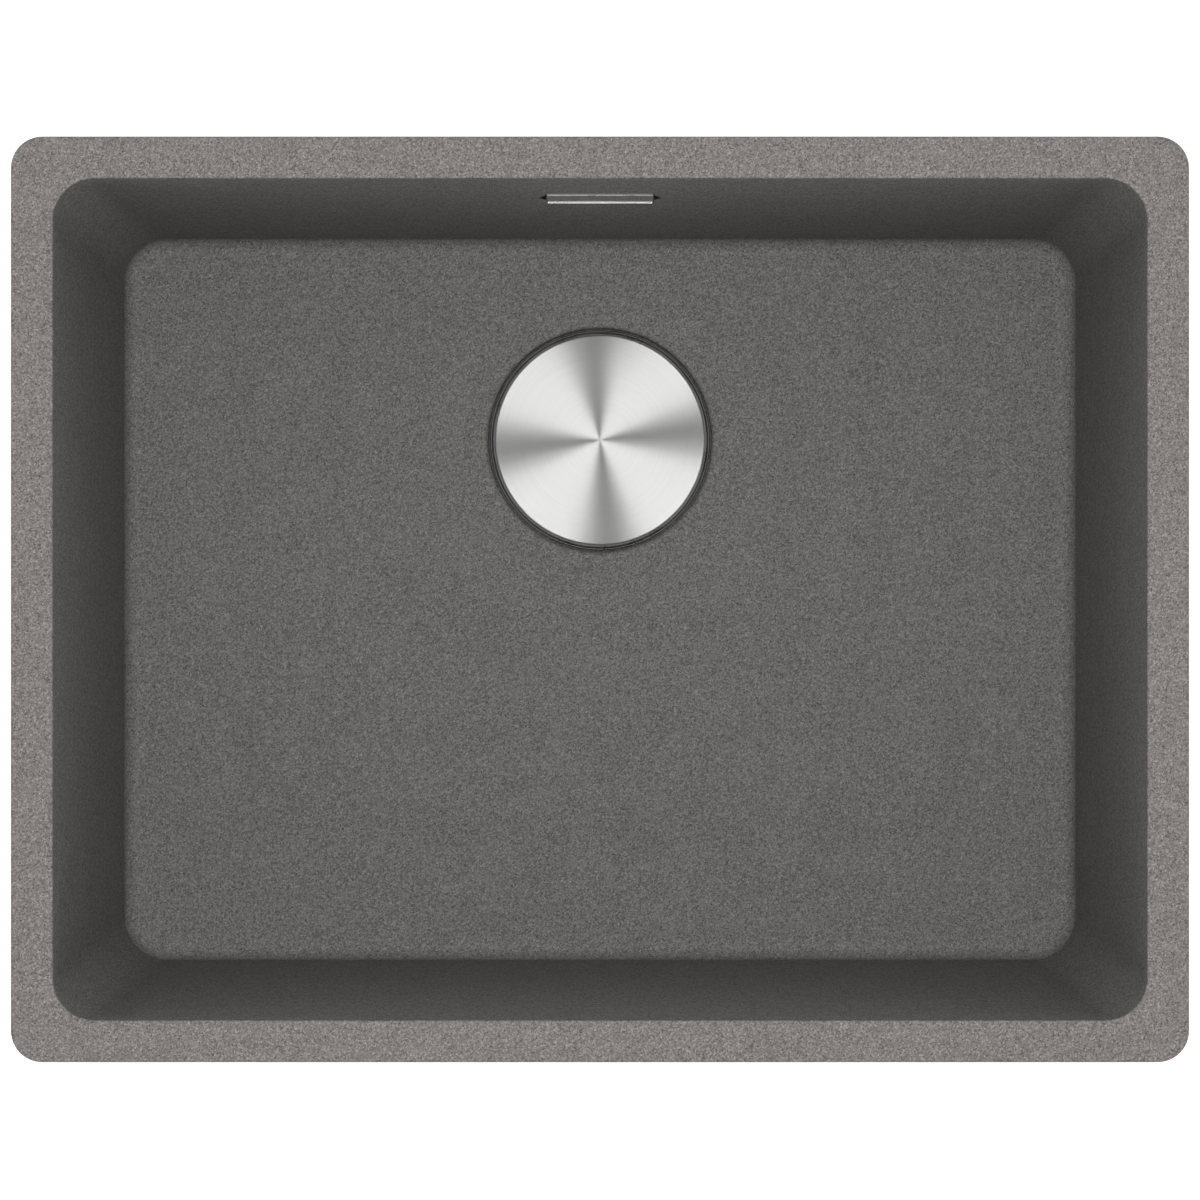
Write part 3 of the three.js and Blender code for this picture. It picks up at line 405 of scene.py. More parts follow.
tree.links.new(spread(tree, grain_shade, 0.2, 0.8, 0.66, 0.5), shader.inputs["Roughness"])
shader.inputs["Specular IOR Level"].default_value = 0.25
bump(tree, shader, noise(tree, spot, 1500, 2), 0.03 * MM, 0.6)

drain_at = Vector((drain.x, drain.y)) / MM
lean = math.tan(draft)


def wall_foot(level, radius, offset):
    """The section from the leaning wall round to the flat floor, as (inset, height) points."""
    middle = level + radius
    inset = -middle * lean - offset + radius / math.cos(draft)
    turned = arc((0, 0), radius, -math.degrees(draft), -90, 8)
    return [(inset - x, middle + z) for x, z in turned]


def bowl_outline(inset, radius, height):
    """An outline of the bowl at a distance inside the mouth's edge."""
    add_outline(opening.x - 2 * inset, opening.y - 2 * inset, radius, height)


perimeter = floor_fall - bowl_depth
inner_foot = wall_foot(perimeter, foot_round, 0)
outer_foot = wall_foot(perimeter - bottom, foot_round + wall, wall)
foot_inset = inner_foot[0][0]
root_inset = (rim_thickness + root_round) * lean - wall
bowl = start_mesh("bowl")
for x, z in arc((0, 0), edge_round, 90, 180, 5):
    bowl_outline(-edge_round - x, opening_corner + edge_round + x, z - edge_round - hair)
for inset, z in inner_foot:
    bowl_outline(inset, foot_corner + foot_inset - inset, z)
recess = arc((recess_radius + recess_round, -recess_round), recess_round, 90, 180, 6)
recess += [(recess_radius, -recess_depth), (drain_hole, -recess_depth - hair)]
recess += [(drain_hole, hair - recess_depth - bottom), (boss_radius, -recess_depth - bottom)]
recess += [(boss_radius + boss_taper, -bottom)]
for radius, z in recess:
    add_circle(radius, z - bowl_depth, drain_at)
for inset, z in reversed(outer_foot):
    bowl_outline(inset, foot_corner + foot_inset - inset, z)
for x, z in arc((0, 0), root_round, 180, 90, 4):
    corner = opening_corner + wall + root_round + x
    bowl_outline(root_inset - root_round - x, corner, z - rim_thickness - root_round)
rim_edge = [(edge_round * 0.6, hair - rim_thickness), (0, edge_round * 0.6 - rim_thickness)]
rim_edge += arc((edge_round, -edge_round), edge_round, 180, 90, 5)
for inset, z in rim_edge:
    bowl_outline(inset - rim_width, rim_corner - inset, z)
bridge_outlines(bowl, closed=True)

# The overflow's slot and the shallow rebate of its plate are cut through the rear wall. The
# slot's edge is rounded, and the cutter flares to leave that round. round_end keeps the ends of
# long holes just short of half circles.
slot = Vector((59.2, 20))
slot_round = 0.4
round_end = 0.998
overflow_depth = 59
plate = Vector((52.6, 24.8))
plate_corner = 1.5
plate_gap = 0.4
rebate_depth = 2.2
overflow_at = (0, opening.y / 2 - overflow_depth * lean, -overflow_depth)
into_wall = -math.pi / 2 - draft

slot_cutter = start_mesh("slot_cutter")
cutter_outlines = [(0, 2 * wall)] + arc((slot_round, slot_round), slot_round, 180, 270, 6)
cutter_outlines += [(slot_round, -wall)]
for grow, z in cutter_outlines:
    size = slot + Vector((2 * grow, 2 * grow))
    add_outline(size.x, size.y, size.y / 2 * round_end, z, 16)
bridge_outlines(slot_cutter)
put(slot_cutter, overflow_at, into_wall)
combine(bowl, slot_cutter)
rebate_cutter = start_mesh("rebate_cutter")
for z in (rebate_depth, -wall):
    add_outline(plate.x + 2 * plate_gap, plate.y + 2 * plate_gap, plate_corner + plate_gap, z, 6)
bridge_outlines(rebate_cutter)
put(rebate_cutter, overflow_at, into_wall)
combine(bowl, rebate_cutter)
smooth(bowl, 25)
bowl.data.materials.append(stone)
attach(bowl, "sink")
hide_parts("sink_bowl")


# ---------------------------------------------------------------- Rubber washer under the cup's rim
# A flat ring stamped from black sheet rubber. It lies in the floor's recess, and the rim of the
# strainer cup squeezes it, so that its edges stand out in a round.
waste_at = (0, drain_at.y, -bowl_depth)
gap = 0.3
washer_thick = 1.3
washer_inner = drain_hole + 1
washer_outer = recess_radius - 1.3
washer_low = gap - recess_depth
washer_high = washer_low + washer_thick
rubber_tones = [(0.012, 0.012, 0.013), (0.024, 0.024, 0.025)]


def turned(name, section, steps=96):
    """Spins a section of (radius, height) points round the upright axis into a closed piece."""
    bpy.ops.object.select_all(action="DESELECT")
    bpy.ops.mesh.primitive_plane_add(size=MM)
    piece = bpy.context.object
    piece.name = name
    bpy.ops.object.mode_set(mode="EDIT")
    bpy.ops.mesh.merge(type="CENTER")
    bpy.ops.transform.translate(value=(section[0][0] * MM, 0, section[0][1] * MM))
    for (radius, height), (next_radius, next_height) in zip(section, section[1:]):
        step = ((next_radius - radius) * MM, 0, (next_height - height) * MM)
        bpy.ops.mesh.extrude_region_move(TRANSFORM_OT_translate={"value": step})
    bpy.ops.mesh.select_all(action="SELECT")
    bpy.ops.mesh.spin(steps=steps, angle=math.tau, center=(0, 0, 0), axis=(0, 0, 1))
    bpy.ops.mesh.select_all(action="SELECT")
    bpy.ops.mesh.remove_doubles(threshold=1e-6)
    bpy.ops.mesh.normals_make_consistent(inside=False)
    bpy.ops.object.mode_set(mode="OBJECT")
    return piece


def stamped_ring(name, inner, outer, low, high):
    """A ring of rubber sheet with its inner and outer edges rounded."""
    half = (high - low) / 2
    section = arc((outer - half, low + half), half, -90, 90, 8)
    section += arc((inner + half, low + half), half, 90, 270, 8)
    return turned(name, section + section[:1])


def vary(tree, shader, pattern, tones, roughness, stops=(noise_low, noise_high)):
    """Lets a pattern vary a finish between two colours and between two roughnesses."""
    tone = ramp(tree, pattern, list(zip(stops, tones)))
    tree.links.new(tone, shader.inputs["Base Color"])
    rough = spread(tree, pattern, noise_low, noise_high, *roughness)
    tree.links.new(rough, shader.inputs["Roughness"])


rubber, tree, shader, spot = principled("black_rubber", (0.015, 0.015, 0.016), 0.8)
bloom = noise(tree, spot, 90, 5)
vary(tree, shader, bloom, rubber_tones, (0.7, 0.88), stops=(0.35, noise_high))
bump(tree, shader, noise(tree, spot, 2200, 2), 0.03 * MM, 0.5)

washer = stamped_ring("cup_washer", washer_inner, washer_outer, washer_low, washer_high)
put(washer, waste_at)
smooth(washer)
washer.data.materials.append(rubber)
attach(washer, "sink")
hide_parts("cup_gasket")


# ---------------------------------------------------------------- Strainer cup
# A cup drawn from steel sheet, with a rolled bead round its rim and eight outlets in its floor.
# Its steel is coloured dark: painted shade for the deep, narrow gap round the cover, where it
# shows.
# The centre screw stands in its dimple and pulls the cup on the washer.
cup_sheet = 1.2
cup_clearance = 0.8
cup_outer = drain_hole - cup_clearance
cup_inner = cup_outer - cup_sheet
cup_rim = recess_radius - 0.8
cup_rim_low = washer_high + gap
cup_rim_high = cup_rim_low + cup_sheet
cup_bead = 0.8
cup_shoulder = 2.4
cup_foot = 4
cup_taper = 2
cup_depth = 40.6
cup_floor = cup_rim_high - cup_depth
crease_out = 0.5
crease_in = 0.15
crease_depth = 0.4
sheet_edge = 0.3
dimple_radius = 12
dimple_depth = 3
dimple_edge = 0.8
dimple_flare = 1.6
dimple_flare_below = 1.9
outlet_holes = 8
outlet_hole = 4.2
outlet_ring = 20.5
centre_hole = 4.6


def add_rod(radius, low, high, at=(0, 0), steps=32):
    """Adds an upright rod to the mesh that is being edited."""
    bpy.ops.mesh.primitive_cylinder_add(
        vertices=steps,
        radius=radius * MM,
        depth=(high - low) * MM,
        location=(at[0] * MM, at[1] * MM, (low + high) / 2 * MM),
    )


def repeat_round(count):
    """Repeats what is selected evenly round the upright axis, in the mesh that is being edited."""
    for _ in range(count - 1):
        bpy.ops.mesh.duplicate()
        bpy.ops.transform.rotate(
            value=math.tau / count, orient_axis="Z", center_override=(0, 0, 0)
        )


def drawn_steel(name, pale, dull, smoothest, roughest):
    """Sheet steel with faint lines along the way it was drawn, and clouds in its shine."""
    material, tree, shader, spot = principled(name, pale, roughest, 1)
    drawn = node(tree, "ShaderNodeMapping", {"Vector": spot, "Scale": (1.0, 1.0, 0.06)}).outputs[0]
    lines = noise(tree, drawn, 1600, 3)
    clouds = noise(tree, spot, 55, 4)
    tone = ramp(tree, clouds, [(noise_low, dull), (noise_high, pale)])
    tree.links.new(tone, shader.inputs["Base Color"])
    uneven = spread(tree, lines, noise_low, noise_high, 0.8, 1.2)
    satin = maths(tree, "MULTIPLY", clouds, uneven)
    shine = spread(tree, satin, noise_low, noise_high, smoothest, roughest)
    tree.links.new(shine, shader.inputs["Roughness"])
    bump(tree, shader, lines, 0.008 * MM, 0.5)
    return material


# The cup's steel is painted dark, as painted shade of the narrow, deep gap round the cover.
dark_steel = drawn_steel("dark_steel", (0.14, 0.14, 0.14), (0.12, 0.12, 0.12), 0.24, 0.4)

inside = [(0, cup_floor - dimple_depth)]
inside += arc(
    (dimple_radius - cup_sheet - dimple_edge, cup_floor - dimple_depth + dimple_edge),
    dimple_edge,
    -90,
    -20,
    4,
)
inside += arc((dimple_radius + dimple_flare, cup_floor - dimple_edge), dimple_edge, 150, 90, 4)
foot_at = (cup_inner - cup_taper - cup_foot, cup_floor + cup_foot)
inside += arc(foot_at, cup_foot, -90, 0, 10)
shoulder_at = (cup_inner + cup_shoulder, cup_rim_high - cup_shoulder)
inside += arc(shoulder_at, cup_shoulder, 180, 90, 10)
bead_at = (cup_rim - cup_sheet / 2, cup_rim_high + cup_bead - cup_sheet / 2)
crease = bead_at[0] - cup_sheet / 2
crease_low = cup_rim_high - crease_depth
inside += [(crease - crease_out, cup_rim_high), (crease - crease_in, crease_low)]
inside += [(crease, crease_low)] + arc(bead_at, cup_sheet / 2, 180, 0, 10)
outside = arc((cup_rim - sheet_edge, cup_rim_low + sheet_edge), sheet_edge, 0, -90, 3)
outside += arc(shoulder_at, cup_shoulder - cup_sheet, 90, 180, 8)
outside += arc(foot_at, cup_foot + cup_sheet, 0, -90, 10)
outside += [(dimple_radius + dimple_flare_below, cup_floor - cup_sheet)]
outside += [(dimple_radius, cup_floor - dimple_depth - cup_sheet)]
outside += [(0, cup_floor - dimple_depth - cup_sheet)]
cup = turned("drain_cup", inside + outside)
punch_low = cup_floor - 6
punch_high = cup_floor + 2
outlets = start_mesh("outlets")
add_rod(centre_hole, punch_low, punch_high)
bpy.ops.mesh.select_all(action="DESELECT")
add_rod(outlet_hole, punch_low, punch_high, (outlet_ring, 0))
repeat_round(outlet_holes)
bpy.ops.object.mode_set(mode="OBJECT")
combine(cup, outlets)
put(cup, waste_at)
smooth(cup)
cup.data.materials.append(dark_steel)
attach(cup, "sink")
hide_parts("strainer_cup")


# ---------------------------------------------------------------- Rubber gasket under the floor
# The thicker of the two rubber rings. It fills the joint between the ground boss under the bowl's
# floor and the flange of the waste body.
boss_low = -recess_depth - bottom
gasket_thick = 3
gasket_high = boss_low - gap
body_inner = cup_outer + 4.8
flange_radius = 56.5

gasket = stamped_ring(
    "floor_gasket", body_inner, flange_radius, gasket_high - gasket_thick, gasket_high
)
put(gasket, waste_at)
smooth(gasket)
gasket.data.materials.append(rubber)
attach(gasket, "sink")
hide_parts("body_gasket")


# ---------------------------------------------------------------- Waste body
# One moulding in white plastic: a flange, a chamber round the cup, a funnel and an outlet with a
# pipe thread. A spider inside holds the brass nut, and a side inlet takes the overflow's hose.
body_wall = 3
body_outer = body_inner + body_wall
body_top = gasket_high - gasket_thick - gap
flange_thick = 5
funnel_top = body_top - 31
funnel_low = funnel_top - 14
outlet_bore = 20
outlet_root = 23
outlet_low = funnel_low - 22
thread_pitch = 2.31
thread_depth = 0.9
inlet_level = body_top - 17
spigot_radius = 8.5
spigot_bore = 6.9
spigot_length = 22
spider_radius = 11
spider_high = cup_floor - dimple_depth - cup_sheet - gap
spider_low = spider_high - 17
beam_thick = 3
beam_drop = 3
beam_high = 9.4
nut_radius = 7.2
nut_height = 6
screw_hole = 4.3
moulded_edge = 0.6
chamber_round = 4
throat_round = 3
outer_round = 5
outer_throat_round = 2
thread_turn = 0.04
white_tones = [(0.66, 0.66, 0.635), (0.73, 0.73, 0.71)]


def thread(name, root, depth, pitch, low, high, steps=48):
    """The ridge of a screw thread, to be joined to a turned core with this root radius."""
    piece = start_mesh(name)
    start = (root * MM, 0, low * MM)
    upright = (math.pi / 2, math.pi / 8, 0)
    bpy.ops.mesh.primitive_circle_add(vertices=8, radius=MM, location=start, rotation=upright)
    crest = math.cos(math.pi / 8)
    bpy.ops.transform.resize(value=(depth / crest, 1, pitch * 0.5), center_override=start)
    bpy.ops.object.mode_set(mode="OBJECT")
    turns = (high - low) / pitch
    apply_modifier(
        piece,
        "SCREW",
        angle=math.tau * turns,
        screw_offset=(high - low) * MM,
        steps=round(steps * turns),
        render_steps=round(steps * turns),
    )
    bpy.ops.object.mode_set(mode="EDIT")
    bpy.ops.mesh.select_all(action="DESELECT")
    bpy.ops.mesh.select_mode(type="VERT")
    bpy.ops.mesh.select_non_manifold()
    bpy.ops.mesh.fill_holes(sides=0)
    bpy.ops.mesh.select_all(action="SELECT")
    bpy.ops.mesh.normals_make_consistent(inside=False)
    bpy.ops.object.mode_set(mode="OBJECT")
    return piece


def rod(name, radius, low, high, chamfer=0.0, steps=48):
    """An upright rod, with both its edges broken."""
    section = [(0, low), (radius - chamfer, low), (radius, low + chamfer)]
    section += [(radius, high - chamfer), (radius - chamfer, high), (0, high)]
    return turned(name, section, steps)


def block(name, size, middle, edge=0.0):
    """A rectangular block, with its edges rounded."""
    piece = start_mesh(name)
    bpy.ops.mesh.primitive_cube_add(size=1, location=[c * MM for c in middle])
    bpy.ops.transform.resize(
        value=[s * MM for s in size], center_override=[c * MM for c in middle]
    )
    if edge:
        bpy.ops.mesh.bevel(offset=edge * MM, segments=3)
    bpy.ops.object.mode_set(mode="OBJECT")
    return piece


white_plastic, tree, shader, spot = principled("white_plastic", (0.7, 0.7, 0.68), 0.42)
vary(tree, shader, noise(tree, spot, 30, 4), white_tones, (0.36, 0.5))
bump(tree, shader, noise(tree, spot, 900, 3), 0.02 * MM, 0.4)

chamber_foot = (body_inner - chamber_round, funnel_top + chamber_round)
section = [(body_inner, body_top)] + arc(chamber_foot, chamber_round, 0, -50, 5)
section += arc((outlet_bore + throat_round, funnel_low - 2), throat_round, 120, 180, 5)
section += [(outlet_bore, outlet_low + moulded_edge), (outlet_bore + moulded_edge, outlet_low)]
section += [(outlet_root - moulded_edge, outlet_low), (outlet_root, outlet_low + moulded_edge)]
outer_throat = (outlet_root + outer_throat_round, funnel_low - 3)
section += arc(outer_throat, outer_throat_round, 180, 118, 4)
section += arc((body_outer - outer_round, funnel_top + 3.5), outer_round, -56, 0, 6)
section += arc((body_outer + 1, body_top - flange_thick - 1), 1, 180, 90, 4)
flange_edge = flange_radius - moulded_edge
section += arc((flange_edge, body_top - flange_thick + moulded_edge), moulded_edge, -90, 0, 3)
section += arc((flange_edge, body_top - moulded_edge), moulded_edge, 0, 90, 3)
body = turned("waste_moulding", section + section[:1])
thread_low = outlet_low + 2.5
thread_high = funnel_low - 7
ridge = thread("outlet_thread", outlet_root, thread_depth, thread_pitch, thread_low, thread_high)
put(ridge, (0, 0, 0), 0, thread_turn)
combine(body, ridge, "UNION")
spigot = rod("side_inlet", spigot_radius, body_inner + 1.2, body_outer + spigot_length, 0.8)
put(spigot, (0, 0, inlet_level), -math.pi / 2)
combine(body, spigot, "UNION")
spigot_hole = rod("spigot_hole", spigot_bore, body_inner - 3, body_outer + spigot_length + 2)
put(spigot_hole, (0, 0, inlet_level), -math.pi / 2)
combine(body, spigot_hole)
spider = rod("spider", spider_radius, spider_low, spider_high, 0.8)
for turn in (math.pi / 4, -math.pi / 4):
    middle = (0, 0, spider_high - beam_drop - beam_high / 2)
    beam = block("beam", (2 * body_outer, beam_thick, beam_high), middle, 0.5)
    put(beam, (0, 0, 0), 0, turn)
    combine(spider, beam, "UNION")
mid_wall = body_inner + body_wall / 2
section = [(0, outlet_low), (outlet_bore + 1.5, outlet_low), (outlet_bore + 1.5, funnel_low)]
section += [(mid_wall, funnel_top), (mid_wall, body_top), (0, body_top)]
combine(spider, turned("within_walls", section), "INTERSECT")
combine(body, spider, "UNION")
combine(body, rod("screw_hole", screw_hole, spider_low - 1, spider_high + 1))
pocket = rod("nut_pocket", nut_radius + gap, spider_low - 1, spider_low + nut_height, 0, 6)
combine(body, pocket)
put(body, waste_at)
smooth(body)
body.data.materials.append(white_plastic)
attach(body, "sink")
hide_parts("waste_body")


# ---------------------------------------------------------------- Centre screw
# A turned steel screw with a domed head and a wide slot. It goes down through the cup's dimple
# into the brass nut, and its pull clamps the bowl's floor between cup and body. The steel is
# finely brushed, and polished only within the rear wall, where the overflow's plate is let in.
screw_radius = 4
screw_root = 3.5
screw_head = 7
screw_head_high = 3.4
screw_slot = 1.8
screw_low = cup_floor - dimple_depth + gap
screw_high = screw_low + screw_head_high
screw_length = 16
screw_pitch = 1.25
screw_dome = 2
screw_edge = 0.4
brushed_from = 0.2 * MM
brushed_beyond = 0.35 * MM
brushed_roughness = 0.2

polished, tree, shader, spot = principled("polished_steel", (0.6, 0.6, 0.6), 0.16, 1)
rubbed = node(tree, "ShaderNodeMapping", {"Vector": spot, "Scale": (0.04, 1.0, 1.0)}).outputs[0]
smear = noise(tree, spot, 70, 3)
tone = ramp(tree, smear, [(noise_low, (0.57, 0.57, 0.57)), (noise_high, (0.63, 0.63, 0.63))])
tree.links.new(tone, shader.inputs["Base Color"])
from_wall = vector_maths(tree, "SUBTRACT", spot, [c * MM for c in overflow_at])[0]
outwards = (0, -math.cos(draft), math.sin(draft))
out_of_wall = vector_maths(tree, "DOT_PRODUCT", from_wall, outwards)["Value"]
brushed = spread(tree, out_of_wall, brushed_from, brushed_beyond, 0, brushed_roughness)
gloss = spread(tree, smear, noise_low, noise_high, 0.06, 0.12)
tree.links.new(maths(tree, "ADD", brushed, gloss), shader.inputs["Roughness"])
bump(tree, shader, noise(tree, rubbed, 1200, 4), 0.003 * MM, 0.4)

screw_end = screw_low - screw_length
section = [(0, screw_end), (screw_root - 1, screw_end)]
section += [(screw_root, screw_end + 1), (screw_root, screw_low - 1)]
section += [(screw_root + screw_edge, screw_low), (screw_head - screw_edge, screw_low)]
section += arc((screw_head - screw_dome, screw_high - screw_dome), screw_dome, -10, 80, 7)
screw = turned("clamp_screw", section + [(0, screw_high)], 64)
ridge = thread(
    "screw_thread",
    screw_root,
    screw_radius - screw_root,
    screw_pitch,
    screw_end + 1.2,
    screw_low - 1.5,
    32,
)
combine(screw, ridge, "UNION")
slot_at = (0, 0, screw_high)
combine(screw, block("driver_slot", (3 * screw_head, screw_slot, screw_slot), slot_at))
put(screw, waste_at)
smooth(screw)
screw.data.materials.append(polished)
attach(screw, "sink")
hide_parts("centre_screw")


# ---------------------------------------------------------------- Brass nut in the spider
# A hexagonal nut turned from brass bar. It sits in the spider's pocket and can't turn there, so
# the centre screw can be driven home from inside the bowl.
brass_colour = (0.55, 0.38, 0.13)
brass_dull = (0.42, 0.28, 0.10)


def hexagon_nut(name, radius, hole, low, high):
    """A six-sided nut with its corners turned off at both faces, and a threaded hole."""
    piece = rod(name, radius, low, high, 0, 6)
    taper = radius * (1 - math.cos(math.pi / 6))
    section = [(0, low), (radius - taper, low), (radius + 0.2, low + taper * 0.7)]
    section += [(radius + 0.2, high - taper * 0.7), (radius - taper, high), (0, high)]
    combine(piece, turned("corner_turning", section, 48), "INTERSECT")
    combine(piece, rod("nut_hole", hole, low - 1, high + 1, 0, 32))
    return piece


brass, tree, shader, spot = principled("turned_brass", brass_colour, 0.32, 1)
tarnish = noise(tree, spot, 140, 5)
vary(tree, shader, tarnish, [brass_dull, brass_colour], (0.45, 0.22), stops=(0.35, 0.65))
bump(tree, shader, noise(tree, spot, 1800, 2), 0.006 * MM, 0.4)

clamp_nut = hexagon_nut(
    "clamp_nut", nut_radius, screw_radius + gap, spider_low, spider_low + nut_height - gap
)
put(clamp_nut, waste_at)
smooth(clamp_nut)
clamp_nut.data.materials.append(brass)
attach(clamp_nut, "sink")
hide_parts("centre_nut")


# ---------------------------------------------------------------- Lift-out basket
# A shallow basket drawn from thin steel sheet with a rolled rim, punched with two rings of holes
# in its floor and a row of slots in its wall.
basket_sheet = 1
basket_rim = cup_inner - 0.8
basket_high = cup_rim_high - 4.5
basket_floor = basket_high - 27
basket_foot = 3
basket_wall_low = basket_rim - basket_sheet - 5
hole_radius = 2
hole_rings = [(16, 10), (25, 16)]
slot_count = 12
slot_width = 4.5
slot_high = 12
post_hole = 3.3

pressed = drawn_steel("pressed_steel", (0.59, 0.59, 0.58), (0.51, 0.51, 0.50), 0.2, 0.38)

section = [(0, basket_floor)]
foot_at = (basket_wall_low - basket_foot, basket_floor + basket_foot)
section += arc(foot_at, basket_foot, -90, -8, 8)
roll_at = (basket_rim - basket_sheet, basket_high - basket_sheet)
section += arc(roll_at, basket_sheet, 188, -60, 16)
section += [(basket_rim - basket_sheet, basket_high - 2.9)]
section += arc(foot_at, basket_foot + basket_sheet, -8, -90, 8)
section += [(0, basket_floor - basket_sheet)]
basket = turned("strainer_basket", section)
punch_low = basket_floor - 3
punch_high = basket_floor + 2
punches = start_mesh("punches")
add_rod(post_hole, punch_low, punch_high)
for ring, count in hole_rings:
    bpy.ops.mesh.select_all(action="DESELECT")
    add_rod(hole_radius, punch_low, punch_high, (ring, 0), 24)
    repeat_round(count)
bpy.ops.object.mode_set(mode="OBJECT")
combine(basket, punches)
slot_punch = start_mesh("slot_punch")
for level in (basket_wall_low - basket_foot, basket_rim + 2):
    add_outline(slot_width, slot_high, slot_width / 2 * round_end, level, 8)
bridge_outlines(slot_punch)
slots_middle = (basket_high - 2 + basket_floor) / 2
put(slot_punch, (0, 0, slots_middle), -math.pi / 2, math.pi / slot_count)
bpy.ops.object.mode_set(mode="EDIT")
bpy.ops.mesh.select_all(action="SELECT")
repeat_round(slot_count)
bpy.ops.object.mode_set(mode="OBJECT")
combine(basket, slot_punch)
put(basket, waste_at)
smooth(basket)
basket.data.materials.append(pressed)
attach(basket, "basket")
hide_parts("basket")


# ---------------------------------------------------------------- Basket's post with its knob
# A post moulded in black plastic, with a fluted knob for the fingers. Its threaded end goes
# through the basket's floor and carries the plug.
post_radius = 4.5
post_foot = 2
post_low = basket_floor + gap
knob_high = basket_high - 1
knob_radius = 8
knob_low = knob_high - 10
knob_waist = 5.5
knob_flare = 3
stud_radius = 3
plug_high = basket_floor - basket_sheet - gap
plug_thick = 3
plug_low = plug_high - plug_thick
plug_nut_high = 3.2
stud_low = plug_low - gap - plug_nut_high
knob_edge = 1.5
flutes = 16
flute_radius = 0.7
flute_out = 0.25
black_tones = [(0.016, 0.016, 0.018), (0.026, 0.026, 0.028)]

black_plastic, tree, shader, spot = principled("black_plastic", (0.02, 0.02, 0.022), 0.5)
vary(tree, shader, noise(tree, spot, 60, 4), black_tones, (0.42, 0.6))
leather = node(tree, "ShaderNodeTexVoronoi", {"Vector": spot, "Scale": 1400.0})
bump(tree, shader, leather.outputs["Distance"], 0.02 * MM, 0.5)

section = [(0, stud_low), (stud_radius - 0.5, stud_low), (stud_radius, stud_low + 0.5)]
section += [(stud_radius, post_low), (post_radius + post_foot, post_low)]
section += arc((post_radius + post_foot, post_low + post_foot), post_foot, 255, 180, 5)
section += arc((post_radius + 1, knob_low - 1), 1, 180, 100, 4) + [(knob_waist, knob_low)]
section += arc((knob_radius - knob_edge, knob_low + knob_flare + 0.6), knob_edge, -50, 0, 5)
section += arc((knob_radius - knob_edge, knob_high - knob_edge), knob_edge, 0, 90, 6)
section += [(4, knob_high), (0, knob_high - 0.8)]
post = turned("basket_knob", section, 64)
fluting = start_mesh("fluting")
add_rod(flute_radius, knob_low - 1, knob_high + 1, (knob_radius + flute_out, 0), 12)
repeat_round(flutes)
bpy.ops.object.mode_set(mode="OBJECT")
combine(post, fluting)
put(post, waste_at)
smooth(post)
post.data.materials.append(black_plastic)
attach(post, "basket")
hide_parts("basket_post")


# ---------------------------------------------------------------- Rubber plug under the basket
# A moulded rubber disc with a soft lip, pushed on the post's threaded end. It covers the cup's
# outlets when the basket is down.
plug_radius = outlet_ring + outlet_hole + 6.3
plug_lip = 3.4
plug_edge = 0.8
lip_round = 0.4
lip_low = cup_floor + gap

section = [(stud_radius + gap, plug_low), (plug_radius - 2 * plug_lip, plug_low)]
section += arc((plug_radius - plug_lip * 0.75, lip_low + lip_round), lip_round, 200, 340, 5)
section += [(plug_radius - 0.6, plug_low + 0.2)]
section += arc((plug_radius - plug_edge, plug_high - plug_edge), plug_edge, 0, 90, 4)
section += [(stud_radius + gap, plug_high)]
plug = turned("plug", section + section[:1])
put(plug, waste_at)
smooth(plug)
plug.data.materials.append(rubber)
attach(plug, "basket")
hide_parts("plug_seal")


# ---------------------------------------------------------------- Brass nut under the plug
# A small hexagonal nut turned from brass bar. It is screwed on the post's threaded end, and holds
# plug and basket together.
plug_nut_radius = 6
plug_nut_hole = stud_radius + gap

plug_nut = hexagon_nut("plug_fixing", plug_nut_radius, plug_nut_hole, stud_low, plug_low - gap)
put(plug_nut, waste_at)
smooth(plug_nut)
plug_nut.data.materials.append(brass)
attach(plug_nut, "basket")
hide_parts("plug_nut")


# ---------------------------------------------------------------- Round drain cover
# A disc punched from steel sheet and brushed on a turntable, so that its lines run in circles and
# its shine opens like a fan. Its edge is rounded over.
cover_radius = recess_radius - 3.75
cover_thick = 1.5
cover_edge = 0.6
steel_colour = (0.60, 0.60, 0.595)
steel_tones = [[share * c for c in steel_colour] for share in (0.96, 1.03)]
lines_to_metre = 2600
line_change = 0.9

cover_steel, tree, shader, spot = principled("spun_brushed_steel", steel_colour, 0.3, 1)
from_axis = vector_maths(tree, "SUBTRACT", spot, [c * MM for c in waste_at])[0]
across = vector_maths(tree, "MULTIPLY", from_axis, (1, 1, 0))[0]
radial = vector_maths(tree, "NORMALIZE", across)[0]
radius = vector_maths(tree, "LENGTH", across)["Value"]
shader.inputs["Anisotropic"].default_value = 1.0
tree.links.new(radial, shader.inputs["Tangent"])
way_round = node(tree, "ShaderNodeSeparateXYZ", {"Vector": radial}).outputs
line_at = node(
    tree,
    "ShaderNodeCombineXYZ",
    {
        "X": maths(tree, "MULTIPLY", radius, lines_to_metre),
        "Y": maths(tree, "MULTIPLY", way_round["X"], line_change),
        "Z": maths(tree, "MULTIPLY", way_round["Y"], line_change),
    },
).outputs[0]
brush = noise(tree, line_at, 1, 3)
vary(tree, shader, brush, steel_tones, (0.275, 0.325))
bump(tree, shader, brush, 0.004 * MM, 0.5)

section = [(0, -cover_thick), (cover_radius - cover_edge, -cover_thick)]
section += arc((cover_radius - cover_edge, cover_edge - cover_thick), cover_edge, -90, 0, 5)
section += arc((cover_radius - cover_edge, -cover_edge), cover_edge, 0, 90, 6) + [(0, 0)]
cover = turned("drain_cover", section, 192)
put(cover, waste_at)
smooth(cover, 40)
cover.data.materials.append(cover_steel)
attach(cover, "cover")
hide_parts("cover_disc")


